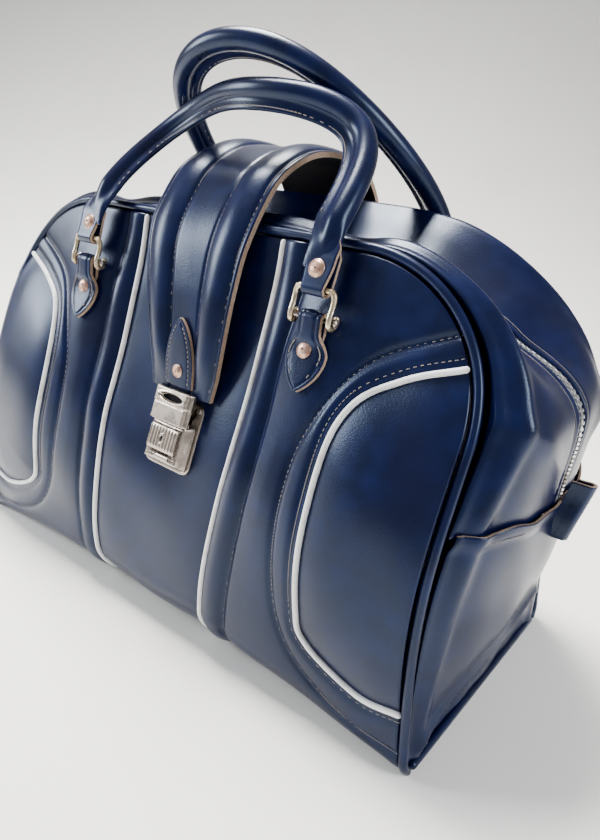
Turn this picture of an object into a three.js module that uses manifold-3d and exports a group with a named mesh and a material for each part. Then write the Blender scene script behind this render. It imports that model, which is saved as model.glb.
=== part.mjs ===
// A soft leatherette weekend holdall: padded front and back panels, a zipped top that runs down
// both ends, two rolled handles on rings, and a strap that arches over the top into a lock.
// Millimetres, +Z up, the front faces -Y, and the origin is the middle of the underside.
import * as THREE from 'three';
import { mergeVertices } from 'three/addons/utils/BufferGeometryUtils.js';
import Module from 'manifold-3d';

const wasm = await Module();
wasm.setup();

// ---- Driving dimensions ------------------------------------------------------------------------
const gap = 0.4;                 // air between pieces that lie on each other
const seam = 1;                  // air between sheets that meet edge to edge
const bag = {
  halfWidth: 224,                // middle of a panel to its side piping
  height: 302,                   // underside to the top piping
  flare: 10,                     // how much further out the foot of the side piping stands
  flareHeight: 140,              // where the flare begins
  topHalfDepth: 61,
  bellyHalfDepth: 112,
  bellyHeight: 80,               // below this the panel hangs straight
  cornerRadius: 95,              // upper corners of a panel, seen from the front
  footRadius: 38,                // panel turning under into the base, in its middle
  endFootRadius: 14,             // and at its two ends
  footPower: 2.5,
  wall: 2.4,
};
const puff = { depth: 8, evenness: 0.6 };   // padding of a panel, dying out at its edges
const sink = { depth: 18, halfWidth: 150, height: 172, halfHeight: 130 };
const ends = { bulge: 42, fullHeight: 180, fadeLength: 165 };
const top = {
  frontRoll: 9, backRoll: 20, cornerRoll: 4, rollFrom: 160, rollFull: 260, backFrom: 270, backFull: 400,
  valley: 10, cornerValley: 26, valleyFrom: 212, valleyFull: 262, valleyEases: 290, valleyEven: 380,
  dent: 0.8, dentWidth: 26,
};
const piping = { edgeRadius: 3, trimRadius: 2 };
const endSeamHeight = 160;
const baseBoard = { thickness: 3, inset: 9 };
const trim = { topX: 67, footX: 58, foldHeight: 150, headGap: 3, footGap: 22 };
const inlay = { inner: 83, upper: 54, lower: 43, endGap: 7 };
const zip = { toothReach: 2.2, toothHeight: 2.4, tapeReach: 8, tapeWall: 0.8, sliderStart: -95 };
const slider = { length: 15, width: 10, plate: 1.8, reach: 4, wire: 1.4, clear: 3.2 };
const puller = { length: 30, width: 8, thickness: 1.6, strip: 0.9, eyeLength: 6.8, eyeHalf: 1.2, neck: 2.7, seat: 1.3 };
const endTab = { length: 17, height: 40, thickness: 9, fold: 4 };
const handle = { tube: 7.6, tabWidth: 22, tabThickness: 5, tabLength: 24, loopWall: 2.6, loopWidth: 16, bend: 1.78 };
const chape = {
  x: 112, tipHeight: bag.height - 88, width: 30, neck: 18, thickness: 3, lift: handle.tube + gap, pointLength: 24,
};
const pin = { radius: 1.5, height: bag.height - 48, length: 37, head: 2.7, headLength: 1.6, fit: 0.4 };
const ring = { halfWidth: 14.5, rise: 18, wire: 2, eyeWidth: 3, eyeWall: 1.7, corner: 3.5 };
const rivet = { chapeRadius: 5.5, handleRadius: 6, strapRadius: 4.5, height: 2.2 };
const frontHandle = {
  rise: 112, halfSpan: 109, roundness: 2.55, apexShift: 18, reclineLeft: 110, reclineMiddle: 43, reclineRight: 112,
};
const backHandle = {
  rise: 142, halfSpan: 112, roundness: 2, apexShift: -6, reclineLeft: 205, reclineMiddle: 127, reclineRight: 177,
};
const strap = {
  thickness: 5, topWidth: 96, footWidth: 56, archHeight: 355, drift: 8, seamGap: 0.8,
  forDepth: 112, forHeight: 302, // the bag that the strap's route is drawn for
};
const strapTab = { width: 27, height: 48, foot: bag.height / 2 + 38, thickness: 2.6 };
const lock = {
  height: bag.height / 2, standOff: 2.6, width: 46, length: 52, plate: 1.6, caseWidth: 34, caseLength: 32, caseDepth: 7,
  releaseLength: 19, releaseDepth: 3, releaseWidth: 28, flutes: 9, keyhole: 4.6, haspWidth: 38,
  haspLength: 15, haspDepth: 6,
};

// ---- Colours -----------------------------------------------------------------------------------
const finish = {
  leather: { color: 0x0b1330, roughness: 0.32, metalness: 0 },
  edge: { color: 0x0a1028, roughness: 0.35, metalness: 0 },
  trim: { color: 0xd8dade, roughness: 0.5, metalness: 0 },
  board: { color: 0x6a5a48, roughness: 0.9, metalness: 0 },
  tape: { color: 0xb9bcc2, roughness: 0.9, metalness: 0 },
  nickel: { color: 0xb4afa6, roughness: 0.3, metalness: 1 },
  copper: { color: 0xa87560, roughness: 0.4, metalness: 1 },
  brass: { color: 0xb3a27a, roughness: 0.32, metalness: 1 },
};

const holdall = new THREE.Group();
const heart = new THREE.Vector3(0, 0, bag.height / 2);
const point = (x, y, z) => new THREE.Vector3(x, y, z);

/** Adds a named mesh with one of the finishes to the bag. */
function add(name, geometry, look) {
  const mesh = new THREE.Mesh(geometry, new THREE.MeshStandardMaterial(finish[look]));
  mesh.name = name;
  holdall.add(mesh);
  return mesh;
}

// ---- Solid helpers -----------------------------------------------------------------------------
/** A closed body from flat lists, turned so that its faces point outwards. */
function closedBody(positions, index) {
  const corner = (i) => point(...positions.slice(3 * i, 3 * i + 3));
  let volume = 0;
  for (let i = 0; i < index.length; i += 3) {
    const [a, b, c] = [corner(index[i]), corner(index[i + 1]), corner(index[i + 2])];
    volume += a.dot(b.cross(c));
  }
  const faces = volume < 0 ? index.toReversed() : index;
  const geometry = new THREE.BufferGeometry();
  geometry.setAttribute('position', new THREE.Float32BufferAttribute(positions, 3));
  geometry.setIndex(faces);
  geometry.computeVertexNormals();
  return geometry;
}

/** Joins an outer and an inner grid of points into one closed sheet with a rim. */
function slab(outer, inner) {
  const rows = outer.length;
  const columns = outer[0].length;
  const positions = [...outer.flat(), ...inner.flat()].flatMap((p) => [p.x, p.y, p.z]);
  const at = (layer, i, j) => (layer * rows + i) * columns + j;
  const index = [];
  const quad = (a, b, c, d) => index.push(a, b, c, a, c, d);
  for (let i = 0; i + 1 < rows; i += 1) {
    for (let j = 0; j + 1 < columns; j += 1) {
      quad(at(0, i, j), at(0, i + 1, j), at(0, i + 1, j + 1), at(0, i, j + 1));
      quad(at(1, i, j), at(1, i, j + 1), at(1, i + 1, j + 1), at(1, i + 1, j));
    }
    quad(at(0, i, 0), at(1, i, 0), at(1, i + 1, 0), at(0, i + 1, 0));
    quad(at(0, i, columns - 1), at(0, i + 1, columns - 1), at(1, i + 1, columns - 1), at(1, i, columns - 1));
  }
  for (let j = 0; j + 1 < columns; j += 1) {
    quad(at(0, 0, j), at(0, 0, j + 1), at(1, 0, j + 1), at(1, 0, j));
    quad(at(0, rows - 1, j), at(1, rows - 1, j), at(1, rows - 1, j + 1), at(0, rows - 1, j + 1));
  }
  return closedBody(positions, index);
}

/** Unit normals of a grid of points, turned away from the middle of the bag. */
function gridNormals(grid) {
  const last = (list) => list.length - 1;
  const normals = grid.map((row, i) => row.map((_, j) => {
    const along = grid[Math.min(i + 1, last(grid))][j].clone().sub(grid[Math.max(i - 1, 0)][j]);
    const across = row[Math.min(j + 1, last(row))].clone().sub(row[Math.max(j - 1, 0)]);
    return along.cross(across).normalize();
  }));
  const [i, j] = [Math.floor(grid.length / 2), Math.floor(grid[0].length / 2)];
  const outwards = normals[i][j].dot(grid[i][j].clone().sub(heart)) < 0 ? -1 : 1;
  return normals.map((row) => row.map((normal) => normal.multiplyScalar(outwards)));
}

/** A sheet of the given wall whose lower face floats at `lift` above the surface pointAt(u, v). */
function sheet(pointAt, rows, columns, lift, wall) {
  const grid = Array.from({ length: rows + 1 }, (_, i) =>
    Array.from({ length: columns + 1 }, (__, j) => pointAt(i / rows, j / columns)));
  const normals = gridNormals(grid);
  const shifted = (distance) => grid.map((row, i) =>
    row.map((p, j) => p.clone().addScaledVector(normals[i][j], distance)));
  return slab(shifted(lift + wall), shifted(lift));
}

/** A round rod along a list of points. */
function rod(points, radius, sides, steps) {
  const outline = new THREE.Shape(new THREE.EllipseCurve(0, 0, radius, radius).getPoints(sides).slice(1));
  const path = new THREE.CatmullRomCurve3(points, false, 'centripetal');
  return new THREE.ExtrudeGeometry(outline, { steps, extrudePath: path, bevelEnabled: false, curveSegments: 1 });
}

/** A turned piece whose axis lies along X, from a profile of [radius, x] pairs. */
function turnedOnX(profile, segments) {
  const shape = new THREE.LatheGeometry(profile.map(([r, x]) => new THREE.Vector2(r, x)), segments);
  return shape.rotateZ(-Math.PI / 2);
}

/** A sleeve along X: a tube with a bore. */
function sleeve(bore, outside, width, segments) {
  const half = width / 2;
  return turnedOnX([[bore, -half], [outside, -half], [outside, half], [bore, half], [bore, -half]], segments);
}

function toSolid(geometry) {
  const bare = geometry.clone();
  bare.deleteAttribute('normal');
  bare.deleteAttribute('uv');
  const merged = mergeVertices(bare, 1e-4);
  const mesh = new wasm.Mesh({
    numProp: 3,
    vertProperties: new Float32Array(merged.attributes.position.array),
    triVerts: new Uint32Array(merged.index.array),
  });
  return new wasm.Manifold(mesh);
}

function toGeometry(solid) {
  const mesh = solid.getMesh();
  const geometry = new THREE.BufferGeometry();
  geometry.setAttribute('position', new THREE.BufferAttribute(mesh.vertProperties, 3));
  geometry.setIndex(new THREE.BufferAttribute(mesh.triVerts, 1));
  geometry.computeVertexNormals();
  return geometry;
}

/** Joins several overlapping geometries into one body. */
function joined(...pieces) {
  return toGeometry(pieces.map(toSolid).reduce((whole, piece) => whole.add(piece)));
}

/** A plate lying in the XZ plane, its face towards -Y, from an outline of [x, z] pairs. */
function plateFrom(outline, depth) {
  const shape = new THREE.Shape(outline.map(([x, z]) => new THREE.Vector2(x, z)));
  const geometry = new THREE.ExtrudeGeometry(shape, { depth, bevelEnabled: false });
  return geometry.rotateX(Math.PI / 2);
}

/** A rectangle with cut corners, centred on the origin. */
function cutRectangle(width, length, cut) {
  const [w, l] = [width / 2, length / 2];
  return [[w - cut, -l], [w, cut - l], [w, l - cut], [w - cut, l], [cut - w, l], [-w, l - cut], [-w, cut - l],
    [cut - w, -l]];
}

// ---- The bag's surfaces ------------------------------------------------------------------------
const clamp01 = (value) => Math.min(1, Math.max(0, value));
const ease = (from, to, value) => {
  const share = clamp01((value - from) / (to - from));
  return share * share * (3 - 2 * share);
};
const footArc = bag.endFootRadius * Math.PI / 2;

/** The radius in which a panel turns under: it tightens towards the ends. */
const footRadiusAt = (x) => bag.endFootRadius
  + (bag.footRadius - bag.endFootRadius) * clamp01(1 - Math.abs(x / bag.halfWidth) ** bag.footPower);

/** Length of a panel's skin from its top to its foot. */
const fullDropAt = (x) => bag.height + footRadiusAt(x) * (Math.PI / 2 - 1);

/** Half the bag's depth at a height: a quarter circle at the foot, then a cosine slope inwards. */
function halfDepth(z) {
  const r = bag.endFootRadius;
  if (z < r) return bag.bellyHalfDepth - r + Math.sqrt(r * r - (r - z) ** 2);
  const climb = clamp01((z - bag.bellyHeight) / (bag.height - bag.bellyHeight));
  const fall = 0.5 * (1 + Math.cos(Math.PI * climb ** 1.2));
  return bag.topHalfDepth + (bag.bellyHalfDepth - bag.topHalfDepth) * fall;
}

/** How far a panel's padding stands out at a place, less what its middle is pressed in. */
function padding(x, z) {
  const puffed = clamp01(1 - (x / bag.halfWidth) ** 4) * Math.sin(Math.PI * clamp01(z / bag.height)) ** puff.evenness;
  const across = clamp01(1 - (x / sink.halfWidth) ** 2);
  const along = clamp01(1 - ((z - sink.height) / sink.halfHeight) ** 2);
  return puff.depth * puffed - sink.depth * across ** 2 * along ** 2;
}

/** A point of the front (side -1) or back (side 1) skin, `drop` below the top measured on it. */
function skin(side, x, drop) {
  const r = footRadiusAt(x);
  if (drop <= bag.height - r) {
    const z = bag.height - drop;
    return point(x, side * (halfDepth(z) + padding(x, z)), z);
  }
  const turn = Math.min(Math.PI / 2, (drop - bag.height + r) / r);
  const depth = bag.bellyHalfDepth - r * (1 - Math.cos(turn)) + padding(x, r) * (1 - ease(0, 1, turn));
  return point(x, side * depth, r * (1 - Math.sin(turn)));
}

/** The skin's outward unit normal. */
function skinNormal(side, x, drop) {
  const across = skin(side, x + 1, drop).sub(skin(side, x - 1, drop));
  const down = skin(side, x, drop + 1).sub(skin(side, x, drop - 1));
  return across.cross(down).multiplyScalar(side).normalize();
}

const aboveSkin = (side, x, drop, lift) =>
  skin(side, x, drop).addScaledVector(skinNormal(side, x, drop), lift);
const sideFlare = (z) => bag.flare * clamp01(1 - z / bag.flareHeight) ** 2;

/** The height at a drop. */
const heightAt = (x, drop) => skin(1, x, drop).z;

/** The right border of a panel from its foot (b 0) to the middle of the upper corner (b 1). */
function sideBorder(b, inset) {
  const foot = fullDropAt(bag.halfWidth);
  const upright = foot - bag.cornerRadius;
  const run = b * (upright + bag.cornerRadius * Math.PI / 4);
  if (run <= upright) {
    const drop = foot - run;
    return [bag.halfWidth + sideFlare(heightAt(bag.halfWidth, drop)) - inset, drop];
  }
  const turn = (run - upright) / bag.cornerRadius;
  const r = bag.cornerRadius - inset;
  const x = bag.halfWidth - bag.cornerRadius + r * Math.cos(turn);
  return [x, bag.cornerRadius - r * Math.sin(turn)];
}

/** The top border of a panel, from the middle of the left corner to that of the right one. */
function topBorder(a, inset) {
  const flat = bag.halfWidth - bag.cornerRadius;
  const reach = flat + bag.cornerRadius * Math.PI / 4;
  const run = (2 * a - 1) * reach;
  const r = bag.cornerRadius - inset;
  if (Math.abs(run) <= flat) return [run, inset];
  const turn = (Math.abs(run) - flat) / bag.cornerRadius;
  return [Math.sign(run) * (flat + r * Math.sin(turn)), bag.cornerRadius - r * Math.cos(turn)];
}

/** A panel's own grid: the four borders blended across it. */
function panelGrid(side, a, b, inset) {
  const foot = sideBorder(0, inset);
  const corner = sideBorder(1, inset);
  const right = sideBorder(b, inset);
  const upper = topBorder(a, inset);
  const x = (1 - b) * (2 * a - 1) * foot[0] + b * upper[0]
    + (2 * a - 1) * (right[0] - (1 - b) * foot[0] - b * corner[0]);
  const drop = (1 - b) * (fullDropAt((2 * a - 1) * foot[0]) - foot[1]) + b * (upper[1] - corner[1]) + right[1];
  return skin(side, x, drop);
}

const upright = bag.height - bag.cornerRadius - bag.endFootRadius;
const cornerArc = bag.cornerRadius * Math.PI / 2;
const halfRun = footArc + upright + cornerArc + bag.halfWidth - bag.cornerRadius;

/** A station of the bag's outline: run 0 is the right foot, halfRun the middle of the top. */
function station(run) {
  const side = run <= halfRun ? 1 : -1;
  const along = side > 0 ? run : 2 * halfRun - run;
  if (along <= footArc) {
    const z = bag.endFootRadius * (1 - Math.cos(along / bag.endFootRadius));
    return { x: side * (bag.halfWidth + sideFlare(z)), z, nx: side, nz: 0, climb: z };
  }
  const climb = along - footArc + bag.endFootRadius;
  if (along <= footArc + upright) {
    return { x: side * (bag.halfWidth + sideFlare(climb)), z: climb, nx: side, nz: 0, climb };
  }
  const turn = Math.min(Math.PI / 2, (along - footArc - upright) / bag.cornerRadius);
  const past = Math.max(0, along - footArc - upright - cornerArc);
  const x = bag.halfWidth - bag.cornerRadius + bag.cornerRadius * Math.cos(turn) - past;
  const z = bag.height - bag.cornerRadius + bag.cornerRadius * Math.sin(turn);
  return { x: side * x, z, nx: side * Math.cos(turn), nz: Math.sin(turn), climb };
}

/** How far the gusset stands off its outline: puffed ends, and rolls beside the zip, dented by the handles. */
function gussetLift(x, climb, s) {
  const rising = Math.sin(Math.PI / 2 * clamp01(climb / ends.fullHeight)) ** 1.3;
  const fading = Math.cos(Math.PI / 2 * clamp01((climb - ends.fullHeight) / ends.fadeLength)) ** 2;
  const bulge = ends.bulge * rising * fading * (1 - s * s) ** 0.8;
  const rolled = ease(top.rollFrom, top.rollFull, climb);
  const dent = 1 - top.dent * Math.exp(-(((Math.abs(x) - chape.x) / top.dentWidth) ** 2));
  const back = top.cornerRoll + (top.backRoll - top.cornerRoll) * ease(top.backFrom, top.backFull, climb);
  const roll = (s < 0 ? dent * top.frontRoll : back) * 4 * s * s * (1 - s * s);
  const even = ease(top.valleyEases, top.valleyEven, climb);
  const valley = ease(top.valleyFrom, top.valleyFull, climb)
    * (top.cornerValley + (top.valley - top.cornerValley) * even);
  return bulge + rolled * roll - valley * (1 - s * s) ** 2;
}

/** A point of the gusset at a run along the outline and a depth y. */
function gusset(run, y) {
  const at = station(run);
  const lift = gussetLift(at.x, at.climb, Math.min(1, Math.max(-1, y / halfDepth(at.z))));
  return point(at.x + at.nx * lift, y, at.z + at.nz * lift);
}

const runAtHeight = (z) => footArc + z - bag.endFootRadius;
const zipTop = gusset(halfRun, 0).z;

// ---- Shell -------------------------------------------------------------------------------------
function makeShell() {
  const inset = piping.edgeRadius + seam;
  for (const [side, name] of [[-1, 'front_panel'], [1, 'back_panel']]) {
    add(name, sheet((a, b) => panelGrid(side, a, b, inset), 22, 13, -bag.wall, bag.wall), 'leather');
  }
  const footX = bag.halfWidth + bag.flare;
  const baseWidth = 2 * (footX - inset);
  const baseDepth = 2 * (bag.bellyHalfDepth - bag.footRadius - seam);
  const baseLayer = (z) => Array.from({ length: 25 }, (_, i) => {
    const x = baseWidth * (i / 24 - 0.5);
    const half = bag.bellyHalfDepth - footRadiusAt(x) - 3 * seam;
    return [-1, -0.33, 0.33, 1].map((share) => point(x, share * half, z));
  });
  add('base_panel', slab(baseLayer(bag.wall), baseLayer(0)), 'leather');
  const boardSize = [baseWidth - 2 * baseBoard.inset, baseDepth - 2 * baseBoard.inset, baseBoard.thickness];
  const board = new THREE.BoxGeometry(...boardSize);
  add('base_board', board.translate(0, 0, bag.wall + gap + baseBoard.thickness / 2), 'board');
}

/** The two halves of the zipped top, and the plain gusset below the zip at each end. */
function makeGussets() {
  const inset = piping.edgeRadius + seam;
  const seamRun = runAtHeight(endSeamHeight);
  const slot = zip.tapeReach + gap;
  for (const [side, name] of [[-1, 'top_gusset_front'], [1, 'top_gusset_back']]) {
    const surface = (u, v) => {
      const run = seamRun + gap + u * 2 * (halfRun - seamRun - gap);
      const outer = halfDepth(station(run).z) - inset;
      return gusset(run, side * (slot + v * (outer - slot)));
    };
    add(name, sheet(surface, 38, 5, -bag.wall, bag.wall), 'leather');
  }
  const lowest = 2 * piping.edgeRadius + 2 * gap;
  const footRun = bag.endFootRadius * Math.acos(1 - lowest / bag.endFootRadius);
  for (const [side, name] of [[1, 'end_gusset_right'], [-1, 'end_gusset_left']]) {
    const surface = (u, v) => {
      const run = footRun + u * (seamRun - gap - footRun);
      const outer = halfDepth(station(run).z) - inset - 3 * seam;
      return gusset(side > 0 ? run : 2 * halfRun - run, outer * (2 * v - 1));
    };
    add(name, sheet(surface, 10, 10, -bag.wall, bag.wall), 'leather');
  }
}

// ---- Piping ------------------------------------------------------------------------------------
function makeEdgePiping() {
  const count = 44;
  const start = bag.endFootRadius * Math.acos(1 - (piping.edgeRadius + gap) / bag.endFootRadius);
  for (const [side, name] of [[-1, 'edge_piping_front'], [1, 'edge_piping_back']]) {
    const points = Array.from({ length: count + 1 }, (_, i) => {
      const at = station(start + i / count * 2 * (halfRun - start));
      return point(at.x, side * halfDepth(at.z), at.z);
    });
    add(name, rod(points, piping.edgeRadius, 6, 46), 'edge');
  }
  const reach = halfDepth(piping.edgeRadius + gap) - gap - 2 * piping.edgeRadius;
  const x = bag.halfWidth + bag.flare;
  for (const [side, name] of [[1, 'base_piping_right'], [-1, 'base_piping_left']]) {
    const z = piping.edgeRadius + gap;
    add(name, rod([point(side * x, -reach, z), point(side * x, reach, z)], piping.edgeRadius, 7, 4), 'edge');
  }
}

/** The four corners of the bag, as [side of the bag, left or right, name ending]. */
const corners = [[-1, -1, 'front_left'], [-1, 1, 'front_right'], [1, -1, 'back_left'], [1, 1, 'back_right']];

function makeTrimPiping() {
  const lift = piping.trimRadius + seam + gap;
  const [w, h] = [bag.halfWidth, bag.height];
  const { inner, upper, lower, endGap } = inlay;
  const curved = bag.cornerRadius - Math.sqrt(bag.cornerRadius ** 2 - Math.max(0, bag.cornerRadius - upper) ** 2);
  const arc = [[w - curved - endGap, h - upper], [w - inner * 0.58, h - upper - inner * 0.17],
    [w - inner * 0.89, h - upper - inner * 0.42], [w - inner, h - upper - inner * 0.92],
    [w - inner * 0.95, lower + inner * 0.52], [w - inner * 0.83, lower + inner * 0.2],
    [w - inner * 0.36, lower], [w - endGap + bag.flare * 0.3, lower + 2]];
  for (const [side, hand, ending] of corners) {
    const flat = new THREE.SplineCurve(arc.map(([x, z]) => new THREE.Vector2(x, z))).getSpacedPoints(24);
    const inlayPath = flat.map((p) => aboveSkin(side, hand * p.x, h - p.y, lift));
    add(`inlay_piping_${ending}`, rod(inlayPath, piping.trimRadius, 5, 24), 'trim');
    const centrePath = Array.from({ length: 13 }, (_, i) => {
      const first = piping.edgeRadius + trim.headGap;
      const drop = first + i / 12 * (fullDropAt(trim.footX) - trim.footGap - first);
      const spread = clamp01(heightAt(trim.footX, drop) / trim.foldHeight);
      return aboveSkin(side, hand * (trim.footX + (trim.topX - trim.footX) * spread), drop, lift);
    });
    add(`centre_piping_${ending}`, rod(centrePath, piping.trimRadius, 5, 18), 'trim');
  }
}

// ---- Zip ---------------------------------------------------------------------------------------
function makeZip() {
  const seamRun = runAtHeight(endSeamHeight) + 2 * gap;
  const strip = (name, side, from, to, lift, wall, look) => {
    const surface = (u, v) => gusset(seamRun + u * 2 * (halfRun - seamRun), side * (from + v * (to - from)));
    add(name, sheet(surface, 38, 1, lift, wall), look);
  };
  for (const [side, name] of [[-1, 'front'], [1, 'back']]) {
    strip(`zip_tape_${name}`, side, zip.toothReach + gap, zip.tapeReach, -bag.wall, zip.tapeWall, 'tape');
    strip(`zip_teeth_${name}`, side, gap / 2, zip.toothReach, -bag.wall, zip.toothHeight, 'nickel');
  }
}

/** The slider over the closed teeth, and its puller lying flat along the zip. */
function makeZipSlider() {
  const seat = zipTop + gap;
  const { length, width, plate } = slider;
  const nose = length * 0.3;
  const outline = [[-length / 2, -width / 2], [nose, -width / 2], [length / 2, -width / 4],
    [length / 2, width / 4], [nose, width / 2], [-length / 2, width / 2]];
  const shape = new THREE.Shape(outline.map(([x, y]) => new THREE.Vector2(x, y)));
  const top = new THREE.ExtrudeGeometry(shape, { depth: plate, bevelEnabled: false });
  const { reach, wire, clear } = slider;
  const post = (x) => new THREE.BoxGeometry(wire, wire, clear + wire).translate(x, 0, plate + (clear + wire) / 2 - 0.2);
  const arch = new THREE.BoxGeometry(2 * reach + wire, wire, wire).translate(0, 0, plate + clear + wire / 2 - 0.2);
  const body = joined(top, arch, post(reach), post(-reach));
  add('zip_slider', body.translate(zip.sliderStart, 0, seat), 'nickel');

  const { length: long, width: wide, thickness, strip, eyeLength, eyeHalf, neck } = puller;
  const tag = [[-strip, -neck], [long * 0.4, -wide / 2], [long - 3, -wide / 2], [long, -wide / 4],
    [long, wide / 4], [long - 3, wide / 2], [long * 0.4, wide / 2], [-strip, neck]];
  const tagShape = new THREE.Shape(tag.map(([x, y]) => new THREE.Vector2(x, y)));
  const eyeEnd = strip + eyeLength;
  const eye = [[strip, -eyeHalf], [eyeEnd, -eyeHalf], [eyeEnd, eyeHalf], [strip, eyeHalf]];
  tagShape.holes.push(new THREE.Path(eye.map(([x, y]) => new THREE.Vector2(x, y))));
  const pull = new THREE.ExtrudeGeometry(tagShape, { depth: thickness, bevelEnabled: false });
  add('zip_puller', pull.translate(zip.sliderStart, 0, seat + plate + puller.seat - thickness / 2), 'nickel');
}

/** The folded leatherette tab that closes each end of the zip. */
function makeEndTabs() {
  for (const [side, name] of [[1, 'zip_end_tab_right'], [-1, 'zip_end_tab_left']]) {
    const seat = gusset(runAtHeight(endSeamHeight), 0);
    const { length, height, thickness, fold } = endTab;
    const half = thickness / 2;
    const outline = [[0, -half], [length - half, -half], [length, 0], [length - half, half], [0, half],
      [0, fold / 2], [length - half - 1, fold / 4], [length - half - 1, -fold / 4], [0, -fold / 2]];
    const shape = new THREE.Shape(outline.map(([x, y]) => new THREE.Vector2(x, y)));
    const tab = new THREE.ExtrudeGeometry(shape, { depth: height, bevelEnabled: false });
    tab.translate(seat.x + gap + 1.5, 0, seat.z - height * 0.55);
    if (side < 0) tab.rotateZ(Math.PI);
    add(name, tab, 'leather');
  }
}

// ---- Handle fittings ---------------------------------------------------------------------------
/** The middle of a hinge pin: it stands off the panel by the chape's lift and its loop. */
const loopOutside = pin.radius + pin.fit + chape.thickness;
function pinCentre(side, hand) {
  return aboveSkin(side, hand * chape.x, bag.height - pin.height, chape.lift + gap + loopOutside);
}

/** A stitched leather tab on the panel that ends in a loop round the ring's pin. */
function makeChape(side, hand, ending) {
  const crown = pin.height - 2.5;
  const surface = (u, v) => {
    const z = chape.tipHeight + u * (crown - chape.tipHeight);
    const ogive = clamp01((z - chape.tipHeight) / chape.pointLength);
    const pinch = (chape.width - chape.neck) / 2 * ease(pin.height - 18, crown, z);
    const half = 0.6 + (chape.width / 2 - 0.6) * (1 - (1 - ogive) ** 2) - pinch;
    return skin(side, hand * chape.x + (2 * v - 1) * half, bag.height - z);
  };
  const tab = sheet(surface, 9, 2, chape.lift + gap, chape.thickness);
  const loop = sleeve(pin.radius + pin.fit, loopOutside, chape.neck - 1, 14);
  loop.translate(...pinCentre(side, hand).toArray());
  add(`chape_${ending}`, joined(tab, loop), 'leather');
}

/** A domed rivet head sitting on a face at `seat`, pointing along `normal`. */
function makeRivet(name, radius, seat, normal) {
  const profile = [[0, 0], [radius, 0], [radius, rivet.height * 0.35], [radius * 0.72, rivet.height * 0.85],
    [0, rivet.height]];
  const dome = new THREE.LatheGeometry(profile.map(([r, h]) => new THREE.Vector2(r, h)), 14);
  const turn = new THREE.Quaternion().setFromUnitVectors(point(0, 1, 0), normal);
  const mesh = add(name, dome, 'copper');
  mesh.position.copy(seat);
  mesh.quaternion.copy(turn);
}

function makePin(centre, ending) {
  const half = pin.length / 2;
  const neck = half - pin.headLength;
  const profile = [[0, -half], [pin.head, -half], [pin.head, -neck], [pin.radius, -neck], [pin.radius, neck],
    [pin.head, neck], [pin.head, half], [0, half]];
  add(`ring_pin_${ending}`, turnedOnX(profile, 12).translate(...centre.toArray()), 'nickel');
}

/** A bail: two eyes on the pin and a bar across the top. */
function makeRing(centre, ending) {
  const { halfWidth: w, rise, wire, eyeWidth, eyeWall, corner } = ring;
  const bore = pin.radius + pin.fit;
  const eye = (hand) => sleeve(bore, bore + eyeWall, eyeWidth, 12).translate(hand * w, 0, 0);
  const sideWay = (hand) => [point(hand * w, 0, bore + 0.4), point(hand * w, 0, rise - corner),
    point(hand * (w - corner * 0.3), 0, rise - corner * 0.3), point(hand * (w - corner), 0, rise)];
  const bail = rod([...sideWay(-1), point(0, 0, rise), ...sideWay(1).reverse()], wire, 8, 22);
  add(`ring_${ending}`, joined(bail, eye(-1), eye(1)).translate(...centre.toArray()), 'brass');
}

/** The bar of a ring that a handle hangs on. */
const ringBar = (side, hand) => pinCentre(side, hand).add(point(0, 0, ring.rise));

// ---- Handles -----------------------------------------------------------------------------------
/** A point of a handle: u from -1 (left end) to 1, `up` its height above the ring bars. */
function handlePoint(side, size, u, up) {
  const bar = ringBar(side, 1);
  const { reclineLeft: left, reclineMiddle: middle, reclineRight: right } = size;
  const recline = middle + (right - left) / 2 * u + ((right + left) / 2 - middle) * u * u;
  const share = up / size.rise;
  const x = size.halfSpan * u + size.apexShift * share ** 2;
  return point(x, bar.y - side * recline * share ** handle.bend, bar.z + up);
}

/** A rolled handle: an arch of tube whose flat ends fold round the ring bars. */
function makeHandle(side, size, name) {
  const low = handle.tabLength - 4;
  const count = 22;
  const points = Array.from({ length: count + 1 }, (_, i) => {
    const turn = Math.PI * (1 - i / count);
    const squared = (value) => Math.sign(value) * Math.abs(value) ** (2 / size.roundness);
    return handlePoint(side, size, squared(Math.cos(turn)), low + (size.rise - low) * squared(Math.sin(turn)));
  });
  const pieces = [rod(points, handle.tube, 8, 32)];
  const bore = ring.wire + pin.fit;
  for (const hand of [-1, 1]) {
    const bar = ringBar(side, hand);
    const x = hand * size.halfSpan;
    const rise = handlePoint(side, size, hand, handle.tabLength).sub(handlePoint(side, size, hand, 0));
    rise.setX(0).normalize();
    const tilt = Math.atan2(-rise.y, rise.z);
    const from = bore + 0.8;
    const strip = new THREE.BoxGeometry(handle.tabWidth, handle.tabThickness, handle.tabLength);
    strip.translate(0, 0, from + handle.tabLength / 2).rotateX(tilt).translate(x, bar.y, bar.z);
    const loop = sleeve(bore, bore + handle.loopWall, handle.loopWidth, 14);
    pieces.push(strip, loop.translate(hand * chape.x, bar.y, bar.z));
    const face = point(0, side * Math.cos(tilt), side * Math.sin(tilt));
    const seat = point(x, bar.y, bar.z).addScaledVector(rise, bore + 9)
      .addScaledVector(face, handle.tabThickness / 2 + gap);
    makeRivet(`rivet_${name}_${hand < 0 ? 'left' : 'right'}`, rivet.handleRadius, seat, face);
  }
  add(name, joined(...pieces), 'leather');
}

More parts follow.
